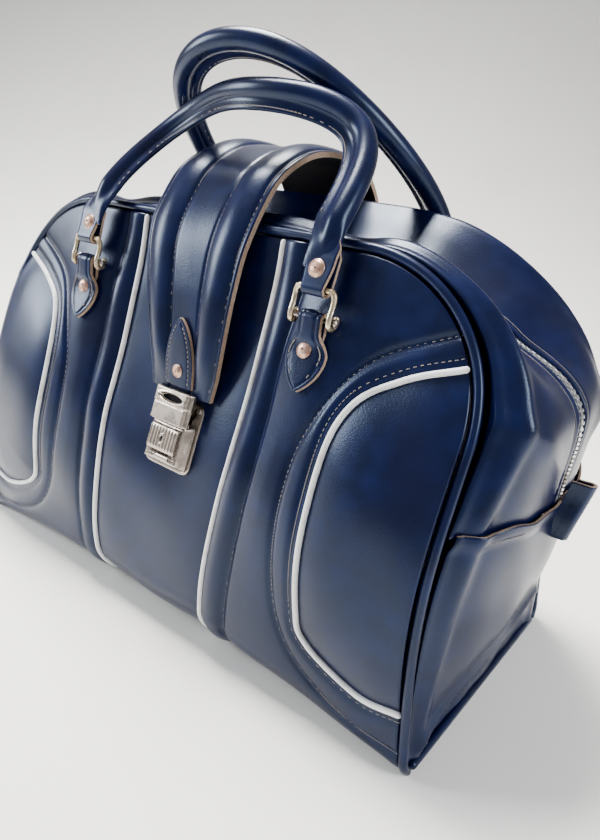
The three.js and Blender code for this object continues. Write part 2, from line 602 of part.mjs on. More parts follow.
// ---- Strap -------------------------------------------------------------------------------------
/** The strap's route in the YZ plane, from the lock over the top to the seam on the back panel. */
const deeper = bag.bellyHalfDepth - strap.forDepth;
const higher = bag.height - strap.forHeight;
const follow = ([y, z]) => [y + Math.sign(y) * deeper, z + higher * clamp01((z - lock.height) / strap.forHeight * 2)];
const shoulder = follow([-66, 316]);
const flapRoute = [[-95 - deeper, lock.height + 33], ...[[-94, 203], [-91, 235], [-87, 262], [-80, 290]].map(follow),
  shoulder];
const archRoute = [shoulder, ...[[-48, 337], [-18, 352], [14, strap.archHeight], [48, 349], [74, 327], [86, 296],
  [87, 262], [93, 225]].map(follow)];

const halfWidthAt = (z) => {
  const share = clamp01((z - lock.height - 28) / (bag.height - 2 - lock.height - 28));
  return (strap.footWidth + (strap.topWidth - strap.footWidth) * share ** 0.8) / 2;
};
const driftAt = (z) => strap.drift * clamp01((bag.height - 2 - z) / 100);

function strapSheet(route, from, to, rows) {
  const curve = new THREE.CatmullRomCurve3(route.map(([y, z]) => point(0, y, z)), false, 'centripetal');
  const surface = (u, v) => {
    const at = curve.getPoint(from + u * (to - from));
    return point(driftAt(at.z) * (at.y < 0 ? 1 : 0) + (2 * v - 1) * halfWidthAt(at.z), at.y, at.z);
  };
  return sheet(surface, rows, 2, -strap.thickness, strap.thickness);
}

function makeStrap() {
  add('strap_arch', strapSheet(archRoute, strap.seamGap / 160, 1, 14), 'leather');
  add('strap_flap', strapSheet(flapRoute, 0, 1, 9), 'leather');
  const flap = new THREE.CatmullRomCurve3(flapRoute.map(([y, z]) => point(0, y, z)), false, 'centripetal');
  const atHeight = (z) => {
    const samples = Array.from({ length: 401 }, (_, i) => flap.getPoint(i / 400));
    return samples.reduce((best, p) => (Math.abs(p.z - z) < Math.abs(best.z - z) ? p : best));
  };
  const surface = (u, v) => {
    const at = atHeight(strapTab.foot + u * strapTab.height);
    const half = strapTab.width / 2 * (1 - u ** 3) + 0.4;
    return point(driftAt(at.z) + (2 * v - 1) * half, at.y, at.z);
  };
  add('strap_tab', sheet(surface, 7, 2, gap, strapTab.thickness), 'leather');
  const seat = atHeight(strapTab.foot + 11);
  const lift = strapTab.thickness + 2 * gap + 0.3;
  makeRivet('rivet_strap_tab', rivet.strapRadius, point(driftAt(seat.z), seat.y - lift, seat.z), point(0, -1, 0));
}

// ---- Lock --------------------------------------------------------------------------------------
/** The lock on the front panel: base plate, case, fluted slide that lets go of the hasp. */
function makeLock() {
  const drop = bag.height - lock.height;
  const x = strap.drift;
  const normal = skinNormal(-1, x, drop);
  const tilt = Math.atan2(-normal.z, -normal.y);
  const place = (name, geometry, out, up, look) => {
    const seat = skin(-1, x, drop).addScaledVector(normal, out);
    seat.add(point(0, -Math.sin(tilt) * up, Math.cos(tilt) * up));
    return add(name, geometry.rotateX(tilt).translate(...seat.toArray()), look);
  };
  const plateLift = lock.standOff;
  place('lock_plate', plateFrom(cutRectangle(lock.width, lock.length, 4), lock.plate), plateLift, 0, 'nickel');
  const caseLift = plateLift + lock.plate + gap;
  const caseUp = -lock.length / 2 + lock.caseLength / 2 + 3;
  place('lock_case', plateFrom(cutRectangle(lock.caseWidth, lock.caseLength, 3), lock.caseDepth), caseLift,
    caseUp, 'nickel');
  const half = lock.releaseWidth / 2;
  const pitch = lock.releaseWidth / lock.flutes;
  const rib = (i) => [[half - i * pitch, -lock.releaseDepth], [half - (i + 0.5) * pitch, -lock.releaseDepth * 0.72]];
  const ribs = Array.from({ length: lock.flutes }, (_, i) => rib(i)).flat();
  const shape = new THREE.Shape([[-half, 0], [half, 0], ...ribs, [-half, -lock.releaseDepth]]
    .map(([px, py]) => new THREE.Vector2(px, py)));
  const fluted = new THREE.ExtrudeGeometry(shape, { depth: lock.releaseLength, bevelEnabled: false });
  fluted.translate(0, 0, -lock.releaseLength / 2);
  const faceLift = caseLift + lock.caseDepth + gap;
  const releaseUp = caseUp + (lock.caseLength - lock.releaseLength) / 2 - 4;
  place('lock_release', fluted, faceLift, releaseUp, 'nickel');
  const bush = new THREE.CylinderGeometry(lock.keyhole, lock.keyhole, 1.2, 16).translate(0, -0.6, 0);
  place('keyhole_bush', bush, faceLift + lock.releaseDepth + gap, releaseUp, 'nickel');
  const haspUp = lock.length / 2 + lock.haspLength / 2 - 9;
  const hasp = plateFrom(cutRectangle(lock.haspWidth, lock.haspLength, 3), lock.haspDepth);
  place('hasp_plate', hasp, caseLift + lock.caseDepth - 1, haspUp, 'nickel');
}

// ---- Assembly ----------------------------------------------------------------------------------
makeShell();
makeGussets();
makeEdgePiping();
makeTrimPiping();
makeZip();
makeZipSlider();
makeEndTabs();
for (const [side, hand, ending] of corners) {
  const centre = pinCentre(side, hand);
  makeChape(side, hand, ending);
  makePin(centre, ending);
  makeRing(centre, ending);
  const drop = bag.height - chape.tipHeight - 21;
  const lift = chape.lift + 2 * gap + chape.thickness + 0.3;
  const seat = aboveSkin(side, hand * chape.x, drop, lift);
  makeRivet(`rivet_chape_${ending}`, rivet.chapeRadius, seat, skinNormal(side, hand * chape.x, drop));
}
makeHandle(-1, frontHandle, 'handle_front');
makeHandle(1, backHandle, 'handle_back');
makeStrap();
makeLock();

export default holdall;
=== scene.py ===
"""A soft leatherette weekend holdall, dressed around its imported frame.

Navy panels with white trim piping, a zipped top, two rolled handles on rings and a padded strap
that closes into a sliding lock. Lengths are metres: +Z is up and the front faces -Y.
"""

import logging
import math
from dataclasses import dataclass
from enum import Enum
from typing import Sequence

import bpy
import numpy as np
from mathutils import Matrix, Vector

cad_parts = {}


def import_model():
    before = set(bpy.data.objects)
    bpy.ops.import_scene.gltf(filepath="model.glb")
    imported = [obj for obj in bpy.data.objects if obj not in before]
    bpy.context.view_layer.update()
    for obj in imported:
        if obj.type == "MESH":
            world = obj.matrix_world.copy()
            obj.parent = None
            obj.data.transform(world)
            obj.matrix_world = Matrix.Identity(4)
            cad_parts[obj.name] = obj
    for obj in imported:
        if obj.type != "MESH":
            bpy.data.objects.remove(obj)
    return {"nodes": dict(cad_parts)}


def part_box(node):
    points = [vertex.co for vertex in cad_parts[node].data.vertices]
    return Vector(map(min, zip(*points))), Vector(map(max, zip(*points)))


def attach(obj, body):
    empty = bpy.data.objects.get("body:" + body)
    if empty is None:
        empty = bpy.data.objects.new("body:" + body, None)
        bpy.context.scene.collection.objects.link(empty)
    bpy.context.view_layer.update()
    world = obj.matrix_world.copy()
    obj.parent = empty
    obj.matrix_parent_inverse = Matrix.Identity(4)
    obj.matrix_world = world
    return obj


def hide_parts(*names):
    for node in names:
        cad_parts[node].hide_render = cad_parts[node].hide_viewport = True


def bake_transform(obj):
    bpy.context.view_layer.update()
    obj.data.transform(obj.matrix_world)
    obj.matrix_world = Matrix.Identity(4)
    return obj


LOG = logging.getLogger("holdall")
MM = 0.001
FRONT, BACK = -1, 1
LEFT, RIGHT = -1, 1
SIDE_NAMES = {FRONT: "front", BACK: "back"}
HAND_NAMES = {LEFT: "left", RIGHT: "right"}
CORNERS = [(side, hand) for side in (FRONT, BACK) for hand in (LEFT, RIGHT)]
Array = np.ndarray


def corner_name(side: int, hand: int) -> str:
    """The words for a side and a hand, as the frame's nodes use them."""
    return f"{SIDE_NAMES[side]}_{HAND_NAMES[hand]}"


# ---- Small mathematics -----------------------------------------------------------------------
def clamp01(value: Array) -> Array:
    """Limits values to the range from 0 to 1."""
    return np.clip(value, 0.0, 1.0)


def ease(low: float, high: float, value: Array) -> Array:
    """Rises smoothly from 0 at low to 1 at high: 3t^2 - 2t^3."""
    share = clamp01((value - low) / (high - low))
    return share * share * (3 - 2 * share)


def hump(value: Array, width: float) -> Array:
    """A bell of height 1 around zero: exp(-(value / width)^2)."""
    return np.exp(-((value / width) ** 2))


def unit(vectors: Array) -> Array:
    """Scales vectors along the last axis to length 1."""
    length = np.linalg.norm(vectors, axis=-1, keepdims=True)
    return vectors / np.maximum(length, 1e-12)


def spline(points: Sequence[Sequence[float]], count: int) -> Array:
    """A smooth curve through points, at even steps of its length.

    Each span is the uniform Catmull-Rom cubic of its four neighbours, with the end points
    continued in a straight line, and the fine samples are then spread evenly by length.

    Args:
        points: The places that the curve passes through.
        count: How many samples to return.

    Returns:
        An array of count rows.
    """
    knots = np.asarray(points, float)
    padded = np.vstack([2 * knots[0] - knots[1], knots, 2 * knots[-1] - knots[-2]])
    share = np.linspace(0, 1, 24, endpoint=False)[:, None]
    p0, p1, p2, p3 = (padded[i : len(padded) - 3 + i][:, None, :] for i in range(4))
    cubic = 0.5 * (
        2 * p1
        + (p2 - p0) * share
        + (2 * p0 - 5 * p1 + 4 * p2 - p3) * share**2
        + (3 * p1 - p0 - 3 * p2 + p3) * share**3
    )
    fine = np.vstack([cubic.reshape(-1, knots.shape[1]), knots[-1:]])
    return even(fine, count)


def even(path: Array, count: int) -> Array:
    """Spreads count samples evenly along a polyline."""
    steps = np.linalg.norm(np.diff(path, axis=0), axis=1)
    length = np.concatenate([[0.0], np.cumsum(steps)])
    wanted = np.linspace(0, length[-1], count)
    return np.stack([np.interp(wanted, length, path[:, k]) for k in range(path.shape[1])], axis=1)


def tangents(path: Array) -> Array:
    """Unit directions along a path, by central differences."""
    return unit(np.gradient(path, axis=0))


def nearest(points: Array, curve: Array) -> tuple[Array, Array]:
    """Distance from points to a 2-D polyline, and the side of it that they lie on.

    Args:
        points: An array whose last axis is 2.
        curve: The polyline's corners.

    Returns:
        The distances, and the sign of the cross product of the nearest span and the offset.
    """
    flat = points.reshape(-1, 2)
    start, span = curve[:-1], np.diff(curve, axis=0)
    offset = flat[:, None, :] - start[None]
    share = clamp01((offset * span).sum(2) / (span**2).sum(1))
    gap = offset - share[..., None] * span
    distance = np.linalg.norm(gap, axis=2)
    best = distance.argmin(1)
    rows = np.arange(len(flat))
    cross = span[best, 0] * gap[rows, best, 1] - span[best, 1] * gap[rows, best, 0]
    shape = points.shape[:-1]
    return distance[rows, best].reshape(shape), np.sign(cross).reshape(shape)


# ---- Meshes ----------------------------------------------------------------------------------
def grid_faces(rows: int, columns: int, first: int = 0, wrap: bool = False) -> Array:
    """Quads of a grid of points numbered row by row from first, closed round when wrap is set."""
    i, j = np.meshgrid(np.arange(rows - 1), np.arange(columns if wrap else columns - 1), indexing="ij")
    across = (j + 1) % columns
    corners = [i * columns + j, (i + 1) * columns + j, (i + 1) * columns + across, i * columns + across]
    return first + np.stack(corners, axis=-1).reshape(-1, 4)


def make_piece(name: str, points: Array, faces: list[Array], raw: Array | None = None) -> bpy.types.Object:
    """Puts arrays into a mesh object whose faces point outwards.

    Args:
        name: The piece's name.
        points: The vertices, one row each.
        faces: Arrays of faces, each with one row of vertex numbers per face.
        raw: One value per face: 1 marks a cut edge, which is flat shaded and tan.

    Returns:
        The new object, linked to the scene.
    """
    fans = [
        (block[:, 0], block[:, k], block[:, k + 1])
        for block in faces
        for k in range(1, block.shape[1] - 1)
    ]
    volume = sum(np.einsum("ij,ij->", points[a], np.cross(points[b], points[c])) for a, b, c in fans)
    if volume < 0:
        faces = [block[:, ::-1] for block in faces]
    mesh = bpy.data.meshes.new(name)
    mesh.vertices.add(len(points))
    mesh.vertices.foreach_set("co", points.astype(np.float32).ravel())
    loops = np.concatenate([block.ravel() for block in faces])
    sizes = np.concatenate([np.full(len(block), block.shape[1]) for block in faces])
    mesh.loops.add(len(loops))
    mesh.loops.foreach_set("vertex_index", loops.astype(np.int32))
    mesh.polygons.add(len(sizes))
    starts = np.concatenate([[0], np.cumsum(sizes)[:-1]])
    mesh.polygons.foreach_set("loop_start", starts.astype(np.int32))
    values = np.zeros(len(sizes), np.float32) if raw is None else raw.astype(np.float32)
    mesh.polygons.foreach_set("use_smooth", values < 0.5)
    mesh.attributes.new("raw", "FLOAT", "FACE").data.foreach_set("value", values)
    mesh.update(calc_edges=True)
    mesh.validate()
    piece = bpy.data.objects.new(name, mesh)
    bpy.context.scene.collection.objects.link(piece)
    return piece


class Rim(Enum):
    """Which part of a sheet's rim is a tan cut edge."""

    NONE = 0
    LAST_ROW = 1
    ALL = 2


def slab(name: str, outer: Array, inner: Array, cut: Rim = Rim.NONE) -> bpy.types.Object:
    """Closes two grids of the same size into one sheet, with a rim of quads round them."""
    rows, columns = outer.shape[:2]
    count = rows * columns
    skins = grid_faces(rows, columns)
    index = np.arange(count).reshape(rows, columns)
    border = np.concatenate([index[0, :-1], index[:-1, -1], index[-1, :0:-1], index[:0:-1, 0]])
    ahead = np.roll(border, -1)
    rim = np.stack([border, ahead, ahead + count, border + count], axis=1)
    points = np.vstack([outer.reshape(-1, 3), inner.reshape(-1, 3)])
    quads = np.vstack([skins, skins[:, ::-1] + count, rim])
    raw = np.zeros(len(quads))
    first, last = len(skins) * 2, len(quads)
    top = first + rows + columns - 2
    shares = {
        Rim.NONE: slice(0, 0),
        Rim.LAST_ROW: slice(top, top + columns - 1),
        Rim.ALL: slice(first, last),
    }
    raw[shares[cut]] = 1.0
    return make_piece(name, points, [quads], raw)


def loft(name: str, rings: Array) -> bpy.types.Object:
    """Joins closed rings of points into one solid with a flat cap at each end."""
    points, faces = ringed(rings)
    return make_piece(name, points, faces)


def frames(path: Array, towards: Array) -> tuple[Array, Array]:
    """Two unit vectors across a path: one leaning towards a direction, one square to it."""
    along = tangents(path)
    first = unit(towards - (towards * along).sum(-1, keepdims=True) * along)
    return first, np.cross(along, first)


def tube(name: str, path: Array, section: Array, towards: Array) -> bpy.types.Object:
    """Carries a section along a path.

    Args:
        name: The piece's name.
        path: The middle of the tube.
        section: Points (first, second) of the outline, one outline or one for each path point.
        towards: The direction that the section's first axis leans to.

    Returns:
        The tube, with its ends closed.
    """
    first, second = frames(path, np.broadcast_to(towards, path.shape))
    outline = np.broadcast_to(section, (len(path),) + section.shape[-2:])
    rings = path[:, None] + outline[..., :1] * first[:, None] + outline[..., 1:] * second[:, None]
    return loft(name, rings)


def circle(radius: float, sides: int) -> Array:
    """A round outline."""
    turn = np.linspace(0, 2 * np.pi, sides, endpoint=False)
    return radius * np.stack([np.cos(turn), np.sin(turn)], axis=1)


def round_ended(path: Array, radius: float, sides: int, towards: Array) -> Array:
    """Rings of a round rod whose two ends close in quarter circles."""
    along = tangents(path)
    turn = np.radians([80, 55, 28])
    scale = np.concatenate([np.cos(turn), np.ones(len(path)), np.cos(turn[::-1])])
    before = path[0] - along[0] * radius * np.sin(turn)[:, None]
    after = path[-1] + along[-1] * radius * np.sin(turn[::-1])[:, None]
    centre = np.vstack([before, path, after])
    first, second = frames(centre, np.broadcast_to(towards, centre.shape))
    outline = circle(radius, sides)[None] * scale[:, None, None]
    return centre[:, None] + outline[..., :1] * first[:, None] + outline[..., 1:] * second[:, None]


def ribbon(
    path: Array, centre: Array, half: Array, wall: float, columns: int, relief: Array | None = None
) -> tuple[Array, Array]:
    """Outer and inner faces of a band that runs along a path in the YZ plane.

    The path is the outer face's line. The band spreads along X, and relief lifts its outer face.

    Args:
        path: Rows of (y, z).
        centre: The band's middle x at each row.
        half: Half its width at each row.
        wall: Its thickness, laid to the right of the direction of travel.
        columns: Points across the band.
        relief: Height above the path at each row and column.

    Returns:
        The outer and the inner grid.
    """
    across = np.linspace(-1, 1, columns)
    along = tangents(path)
    normal = np.stack([-along[:, 1], along[:, 0]], axis=1)
    x = centre[:, None] + half[:, None] * across
    lift = np.zeros_like(x) if relief is None else relief

    def face(height: Array) -> Array:
        """The grid at a height above the path."""
        y = path[:, :1] + normal[:, :1] * height
        z = path[:, 1:] + normal[:, 1:] * height
        return np.stack([x, y, z], axis=-1)

    return face(lift), face(np.full_like(x, -wall))


def turned(
    name: str, profile: Sequence[Sequence[float]], seat: Array, axis: Array, sides: int = 28
) -> bpy.types.Object:
    """A solid of revolution.

    Args:
        name: The piece's name.
        profile: Pairs of radius and height, from one end of the axis to the other.
        seat: The point at height zero.
        axis: The direction of height.
        sides: Points round the axis.

    Returns:
        The turned piece, with a small flat cap at each end.
    """
    shape = np.asarray(profile, float)
    axis = unit(np.asarray(axis, float))
    helper = np.array([1.0, 0, 0]) if abs(axis[0]) < 0.8 else np.array([0, 0, 1.0])
    first = unit(np.cross(axis, helper))
    second = np.cross(axis, first)
    ring = circle(1.0, sides)
    spokes = ring[:, :1] * first + ring[:, 1:] * second
    rings = seat + shape[:, 1, None, None] * axis + shape[:, 0, None, None] * spokes[None]
    return loft(name, rings)


def rounded_outline(corners: Sequence[Sequence[float]], radius: float, steps: int) -> Array:
    """A polygon whose corners are rounded by arcs made of quadratic curves.

    Args:
        corners: The sharp corners, in order.
        radius: How far from each corner the rounding starts.
        steps: Points on each rounded corner.

    Returns:
        The outline's points.
    """
    sharp = np.asarray(corners, float)
    before = np.roll(sharp, 1, axis=0) - sharp
    after = np.roll(sharp, -1, axis=0) - sharp
    reach = lambda way: np.minimum(radius, 0.48 * np.linalg.norm(way, axis=1, keepdims=True))
    start, end = sharp + unit(before) * reach(before), sharp + unit(after) * reach(after)
    t = np.linspace(0, 1, steps)[None, :, None]
    arc = (1 - t) ** 2 * start[:, None] + 2 * t * (1 - t) * sharp[:, None] + t**2 * end[:, None]
    return arc.reshape(-1, 2)


def stacked(outline: Array, layers: Array) -> tuple[Array, list[Array]]:
    """A plate with shaped edges: the outline drawn in by an amount at each height.

    Args:
        outline: A convex outline round the origin, in the plate's plane.
        layers: Pairs of (inset, height), from the lowest to the highest.

    Returns:
        Points (x, y, height) and faces.
    """
    ahead = unit(np.roll(outline, -1, axis=0) - np.roll(outline, 1, axis=0))
    inward = np.stack([-ahead[:, 1], ahead[:, 0]], axis=1)
    inward = inward * np.sign((inward * (outline.mean(0) - outline)).sum())
    rings = [
        np.column_stack([outline + inward * inset, np.full(len(outline), height)])
        for inset, height in layers
    ]
    return ringed(np.array(rings))


def ringed(rings: Array, first: int = 0) -> tuple[Array, list[Array]]:
    """Points and faces of closed rings joined in a row, with flat caps."""
    rows, columns = rings.shape[:2]
    sides = grid_faces(rows, columns, first, wrap=True)
    caps = first + np.stack([np.arange(columns)[::-1], np.arange(columns) + (rows - 1) * columns])
    return rings.reshape(-1, 3), [sides, caps]


@dataclass(frozen=True)
class Thread:
    """A row of stitches: each is a short thread that dips into the leather at both ends."""

    length: float = 2.3 * MM
    pitch: float = 3.1 * MM
    radius: float = 0.3 * MM

    def sew(self, name: str, rows: Sequence[tuple[Array, Array]]) -> bpy.types.Object:
        """Sews along several rows.

        Every stitch is the same small rod of five sides, turned so that it lies along the row
        and stands out along the surface's normal.

        Args:
            name: The piece's name.
            rows: Pairs of path and surface normals.

        Returns:
            One object that holds every stitch.
        """
        along = np.array([-0.5, -0.32, 0, 0.32, 0.5]) * self.length
        height = np.array([-0.9, 0.25, 0.55, 0.25, -0.9]) * self.radius
        rings, sides = len(along), 5
        ring = circle(self.radius, sides)
        template = np.zeros((rings, sides, 3))
        template[..., 0] = along[:, None]
        template[..., 1] = ring[:, 0]
        template[..., 2] = height[:, None] + ring[:, 1]
        blocks = []
        for path, normals in rows:
            total = np.linalg.norm(np.diff(path, axis=0), axis=1).sum()
            count = max(2, int(total / self.pitch))
            both = even(np.hstack([path, normals]), count + 1)
            middle = 0.5 * (both[1:] + both[:-1])
            forward = unit(np.diff(both[:, :3], axis=0))
            normal = unit(middle[:, 3:] - (middle[:, 3:] * forward).sum(1, keepdims=True) * forward)
            axes = np.stack([forward, np.cross(normal, forward), normal], axis=1)
            blocks.append(middle[:, None, None, :3] + np.einsum("rca,nab->nrcb", template, axes))
        threads = np.concatenate(blocks)
        starts = np.arange(len(threads)) * rings * sides
        _, blocks_of_one = ringed(template)
        faces = [
            (starts[:, None, None] + block[None]).reshape(-1, block.shape[1])
            for block in blocks_of_one
        ]
        return make_piece(name, threads.reshape(-1, 3), faces)


@dataclass(frozen=True)
class Ridge:
    """A rounded ridge, or a groove when its height is negative."""

    height: float
    width: float

    def at(self, distance: Array) -> Array:
        """Its height at a distance from its middle line: height * exp(-(distance / width)^2)."""
        return self.height * hump(distance, self.width)


@dataclass(frozen=True)
class Swell:
    """Padding that rises from a seam: height * (1 - exp(-distance / softness))."""

    height: float
    softness: float

    def at(self, distance: Array) -> Array:
        """Its height at a distance from the seam."""
        return self.height * (1 - np.exp(-distance / self.softness))


# ---- The bag's form --------------------------------------------------------------------------
@dataclass(frozen=True)
class Form:
    """The surfaces of the bag, as functions of places on them."""

    half_width: float = 224 * MM
    height: float = 302 * MM
    flare: float = 10 * MM
    flare_height: float = 140 * MM
    top_half_depth: float = 61 * MM
    belly_half_depth: float = 112 * MM
    belly_height: float = 80 * MM
    corner_radius: float = 95 * MM
    foot_radius: float = 38 * MM
    end_foot_radius: float = 14 * MM
    foot_power: float = 2.5
    puff: float = 8 * MM
    evenness: float = 0.6
    sink: float = 18 * MM
    sink_half_width: float = 150 * MM
    sink_height: float = 172 * MM
    sink_half_height: float = 130 * MM
    bulge: float = 42 * MM
    bulge_height: float = 180 * MM
    bulge_fade: float = 165 * MM
    front_roll: float = 9 * MM
    back_roll: float = 20 * MM
    corner_roll: float = 10 * MM
    valley: float = 10 * MM
    corner_valley: float = 26 * MM
    pinch: float = 9 * MM
    pinch_height: float = 172 * MM
    pinch_reach: float = 42 * MM
    roll_from: float = 160 * MM
    roll_full: float = 260 * MM
    back_from: float = 270 * MM
    back_full: float = 400 * MM
    valley_from: float = 212 * MM
    valley_full: float = 262 * MM
    valley_eases: float = 290 * MM
    valley_even: float = 380 * MM
    dent: float = 0.8
    dent_width: float = 26 * MM
    chape_x: float = 112 * MM
    wall: float = 2.4 * MM

    @property
    def foot_arc(self) -> float:
        """Length of the quarter circle at the foot of an end."""
        return self.end_foot_radius * math.pi / 2

    def foot_at(self, x: Array) -> Array:
        """The radius in which a panel turns under: it tightens towards the ends."""
        share = clamp01(1 - np.abs(np.asarray(x) / self.half_width) ** self.foot_power)
        return self.end_foot_radius + (self.foot_radius - self.end_foot_radius) * share

    def full_drop(self, x: Array) -> Array:
        """Length of a panel from its top line to the base, measured on its skin."""
        return self.height + self.foot_at(x) * (math.pi / 2 - 1)

    @property
    def half_run(self) -> float:
        """Length of the outline from a foot to the middle of the top."""
        upright = self.height - self.corner_radius - self.end_foot_radius
        corner = self.corner_radius * math.pi / 2
        return self.foot_arc + upright + corner + self.half_width - self.corner_radius

    def half_depth(self, z: Array) -> Array:
        """Half the depth at a height: a quarter circle at the foot, then a cosine slope."""
        r = self.end_foot_radius
        rounded = self.belly_half_depth - r + np.sqrt(np.maximum(0, r * r - np.minimum(r - z, r) ** 2))
        climb = clamp01((z - self.belly_height) / (self.height - self.belly_height))
        fall = 0.5 * (1 + np.cos(np.pi * climb**1.2))
        sloped = self.top_half_depth + (self.belly_half_depth - self.top_half_depth) * fall
        return np.where(z < r, rounded, sloped)

    def padding(self, x: Array, z: Array) -> Array:
        """How far the padding stands out, less what the middle is pressed in."""
        even_out = np.sin(np.pi * clamp01(z / self.height)) ** self.evenness
        puffed = clamp01(1 - (x / self.half_width) ** 4) * even_out
        across = clamp01(1 - (x / self.sink_half_width) ** 2)
        along = clamp01(1 - ((z - self.sink_height) / self.sink_half_height) ** 2)
        return self.puff * puffed - self.sink * across**2 * along**2

    def foot_turn(self, x: Array, drop: Array) -> Array:
        """How far a place has turned under, from 0 on the face to a quarter circle at the base."""
        r = self.foot_at(x)
        return np.clip((drop - self.height + r) / r, 0, math.pi / 2)

    def height_at(self, x: Array, drop: Array) -> Array:
        """The height of a place on the skin."""
        turn = self.foot_turn(x, drop)
        return np.where(turn > 0, self.foot_at(x) * (1 - np.sin(turn)), self.height - drop)

    def skin(self, side: int, x: Array, drop: Array) -> Array:
        """Points of the front or back skin, at a drop below the top line."""
        x, drop = np.broadcast_arrays(np.asarray(x, float), np.asarray(drop, float))
        z, turn, r = self.height_at(x, drop), self.foot_turn(x, drop), self.foot_at(x)
        foot = self.belly_half_depth - r * (1 - np.cos(turn)) + self.padding(x, r) * (1 - ease(0, 1, turn))
        above = self.half_depth(np.maximum(z, r)) + self.padding(x, z)
        y = np.where(turn > 0, foot, above)
        return np.stack([x, side * y, z], axis=-1)

    def skin_normal(self, side: int, x: Array, drop: Array) -> Array:
        """The skin's outward unit normal, by central differences."""
        step = 1.0 * MM
        across = self.skin(side, np.asarray(x) + step, drop) - self.skin(side, np.asarray(x) - step, drop)
        down = self.skin(side, x, np.asarray(drop) + step) - self.skin(side, x, np.asarray(drop) - step)
        return unit(np.cross(across, down) * side)

    def above_skin(self, side: int, x: Array, drop: Array, lift: Array) -> Array:
        """Points at a height above the skin."""
        return self.skin(side, x, drop) + self.skin_normal(side, x, drop) * np.asarray(lift)[..., None]

    def side_flare(self, z: Array) -> Array:
        """How much further out the side piping stands near its foot."""
        return self.flare * clamp01(1 - z / self.flare_height) ** 2

    def panel_place(self, a: Array, b: Array, inset: float) -> tuple[Array, Array]:
        """The (x, drop) of a panel's own grid, its four borders blended across it.

        Args:
            a: 0 at the left border, 1 at the right one.
            b: 0 at the foot, 1 at the top border.
            inset: How far inside the piping the borders lie.

        Returns:
            x and drop.
        """
        right_x, right_drop = self.side_border(b, inset)
        top_x, top_drop = self.top_border(a, inset)
        foot_x, foot_drop = self.side_border(np.zeros(1), inset)
        corner_x, corner_drop = self.side_border(np.ones(1), inset)
        s = 2 * a - 1
        x = (1 - b) * s * foot_x + b * top_x + s * (right_x - (1 - b) * foot_x - b * corner_x)
        foot_line = self.full_drop(s * foot_x) - foot_drop
        return x, (1 - b) * foot_line + b * (top_drop - corner_drop) + right_drop

    def side_border(self, b: Array, inset: float) -> tuple[Array, Array]:
        """The right border from its foot (b 0) to the middle of the upper corner (b 1)."""
        foot = float(self.full_drop(self.half_width))
        upright = foot - self.corner_radius
        run = b * (upright + self.corner_radius * math.pi / 4)
        drop = foot - np.minimum(run, upright)
        turn = np.maximum(0, run - upright) / self.corner_radius
        r = self.corner_radius - inset
        straight = self.half_width + self.side_flare(self.height_at(self.half_width, drop)) - inset
        curved = self.half_width - self.corner_radius + r * np.cos(turn)
        x = np.where(run <= upright, straight, curved)
        return x, np.where(run <= upright, drop, self.corner_radius - r * np.sin(turn))

    def top_border(self, a: Array, inset: float) -> tuple[Array, Array]:
        """The top border, from the middle of the left corner (a 0) to that of the right (a 1)."""
        flat = self.half_width - self.corner_radius
        run = (2 * a - 1) * (flat + self.corner_radius * math.pi / 4)
        turn = np.maximum(0, np.abs(run) - flat) / self.corner_radius
        r = self.corner_radius - inset
        x = np.where(np.abs(run) <= flat, run, np.sign(run) * (flat + r * np.sin(turn)))
        return x, self.corner_radius - r * np.cos(turn)

    def station(self, run: Array) -> dict[str, Array]:
        """Places of the outline: run 0 is the right foot and half_run the middle of the top."""
        run = np.asarray(run, float)
        side = np.where(run <= self.half_run, 1.0, -1.0)
        along = np.where(run <= self.half_run, run, 2 * self.half_run - run)
        r = self.end_foot_radius
        upright = self.height - self.corner_radius - r
        foot = r * (1 - np.cos(np.clip(along, 0, self.foot_arc) / r))
        climb = np.where(along <= self.foot_arc, foot, along - self.foot_arc + r)
        turn = np.clip((along - self.foot_arc - upright) / self.corner_radius, 0, math.pi / 2)
        past = np.maximum(0, along - self.foot_arc - upright - self.corner_radius * math.pi / 2)
        z_low = np.minimum(climb, self.height - self.corner_radius)
        x = self.half_width - self.corner_radius * (1 - np.cos(turn)) - past + self.side_flare(z_low)
        z = z_low + self.corner_radius * np.sin(turn)
        return {"x": side * x, "z": z, "nx": side * np.cos(turn), "nz": np.sin(turn), "climb": climb}

    def gusset(self, run: Array, y: Array, lift: Array | float = 0.0) -> Array:
        """Points of the gusset at a run along the outline and a depth y."""
        run, y = np.broadcast_arrays(np.asarray(run, float), np.asarray(y, float))
        at = self.station(run)
        s = np.clip(y / self.half_depth(at["z"]), -1, 1)
        rising = np.sin(np.pi / 2 * clamp01(at["climb"] / self.bulge_height)) ** 1.3
        fading = np.cos(np.pi / 2 * clamp01((at["climb"] - self.bulge_height) / self.bulge_fade)) ** 2
        rolled = ease(self.roll_from, self.roll_full, at["climb"])
        dent = 1 - self.dent * hump(np.abs(at["x"]) - self.chape_x, self.dent_width)
        settled = ease(self.back_from, self.back_full, at["climb"])
        back = self.corner_roll + (self.back_roll - self.corner_roll) * settled
        roll = np.where(s < 0, dent * self.front_roll, back) * 4 * s * s * (1 - s * s)
        even_part = ease(self.valley_eases, self.valley_even, at["climb"])
        valley = self.corner_valley + (self.valley - self.corner_valley) * even_part
        valley = valley * ease(self.valley_from, self.valley_full, at["climb"])
        out = self.bulge * rising * fading * (1 - s * s) ** 0.8
        pinch = self.pinch * hump(at["z"] - self.pinch_height, self.pinch_reach) * (1 - s * s) ** 2
        out = out + rolled * roll - valley * (1 - s * s) ** 2 - pinch + lift
        return np.stack([at["x"] + at["nx"] * out, y, at["z"] + at["nz"] * out], axis=-1)

    def foot_run(self, z: float) -> float:
        """The run at which the round foot of an end has climbed to a height."""
        return self.end_foot_radius * math.acos(1 - z / self.end_foot_radius)

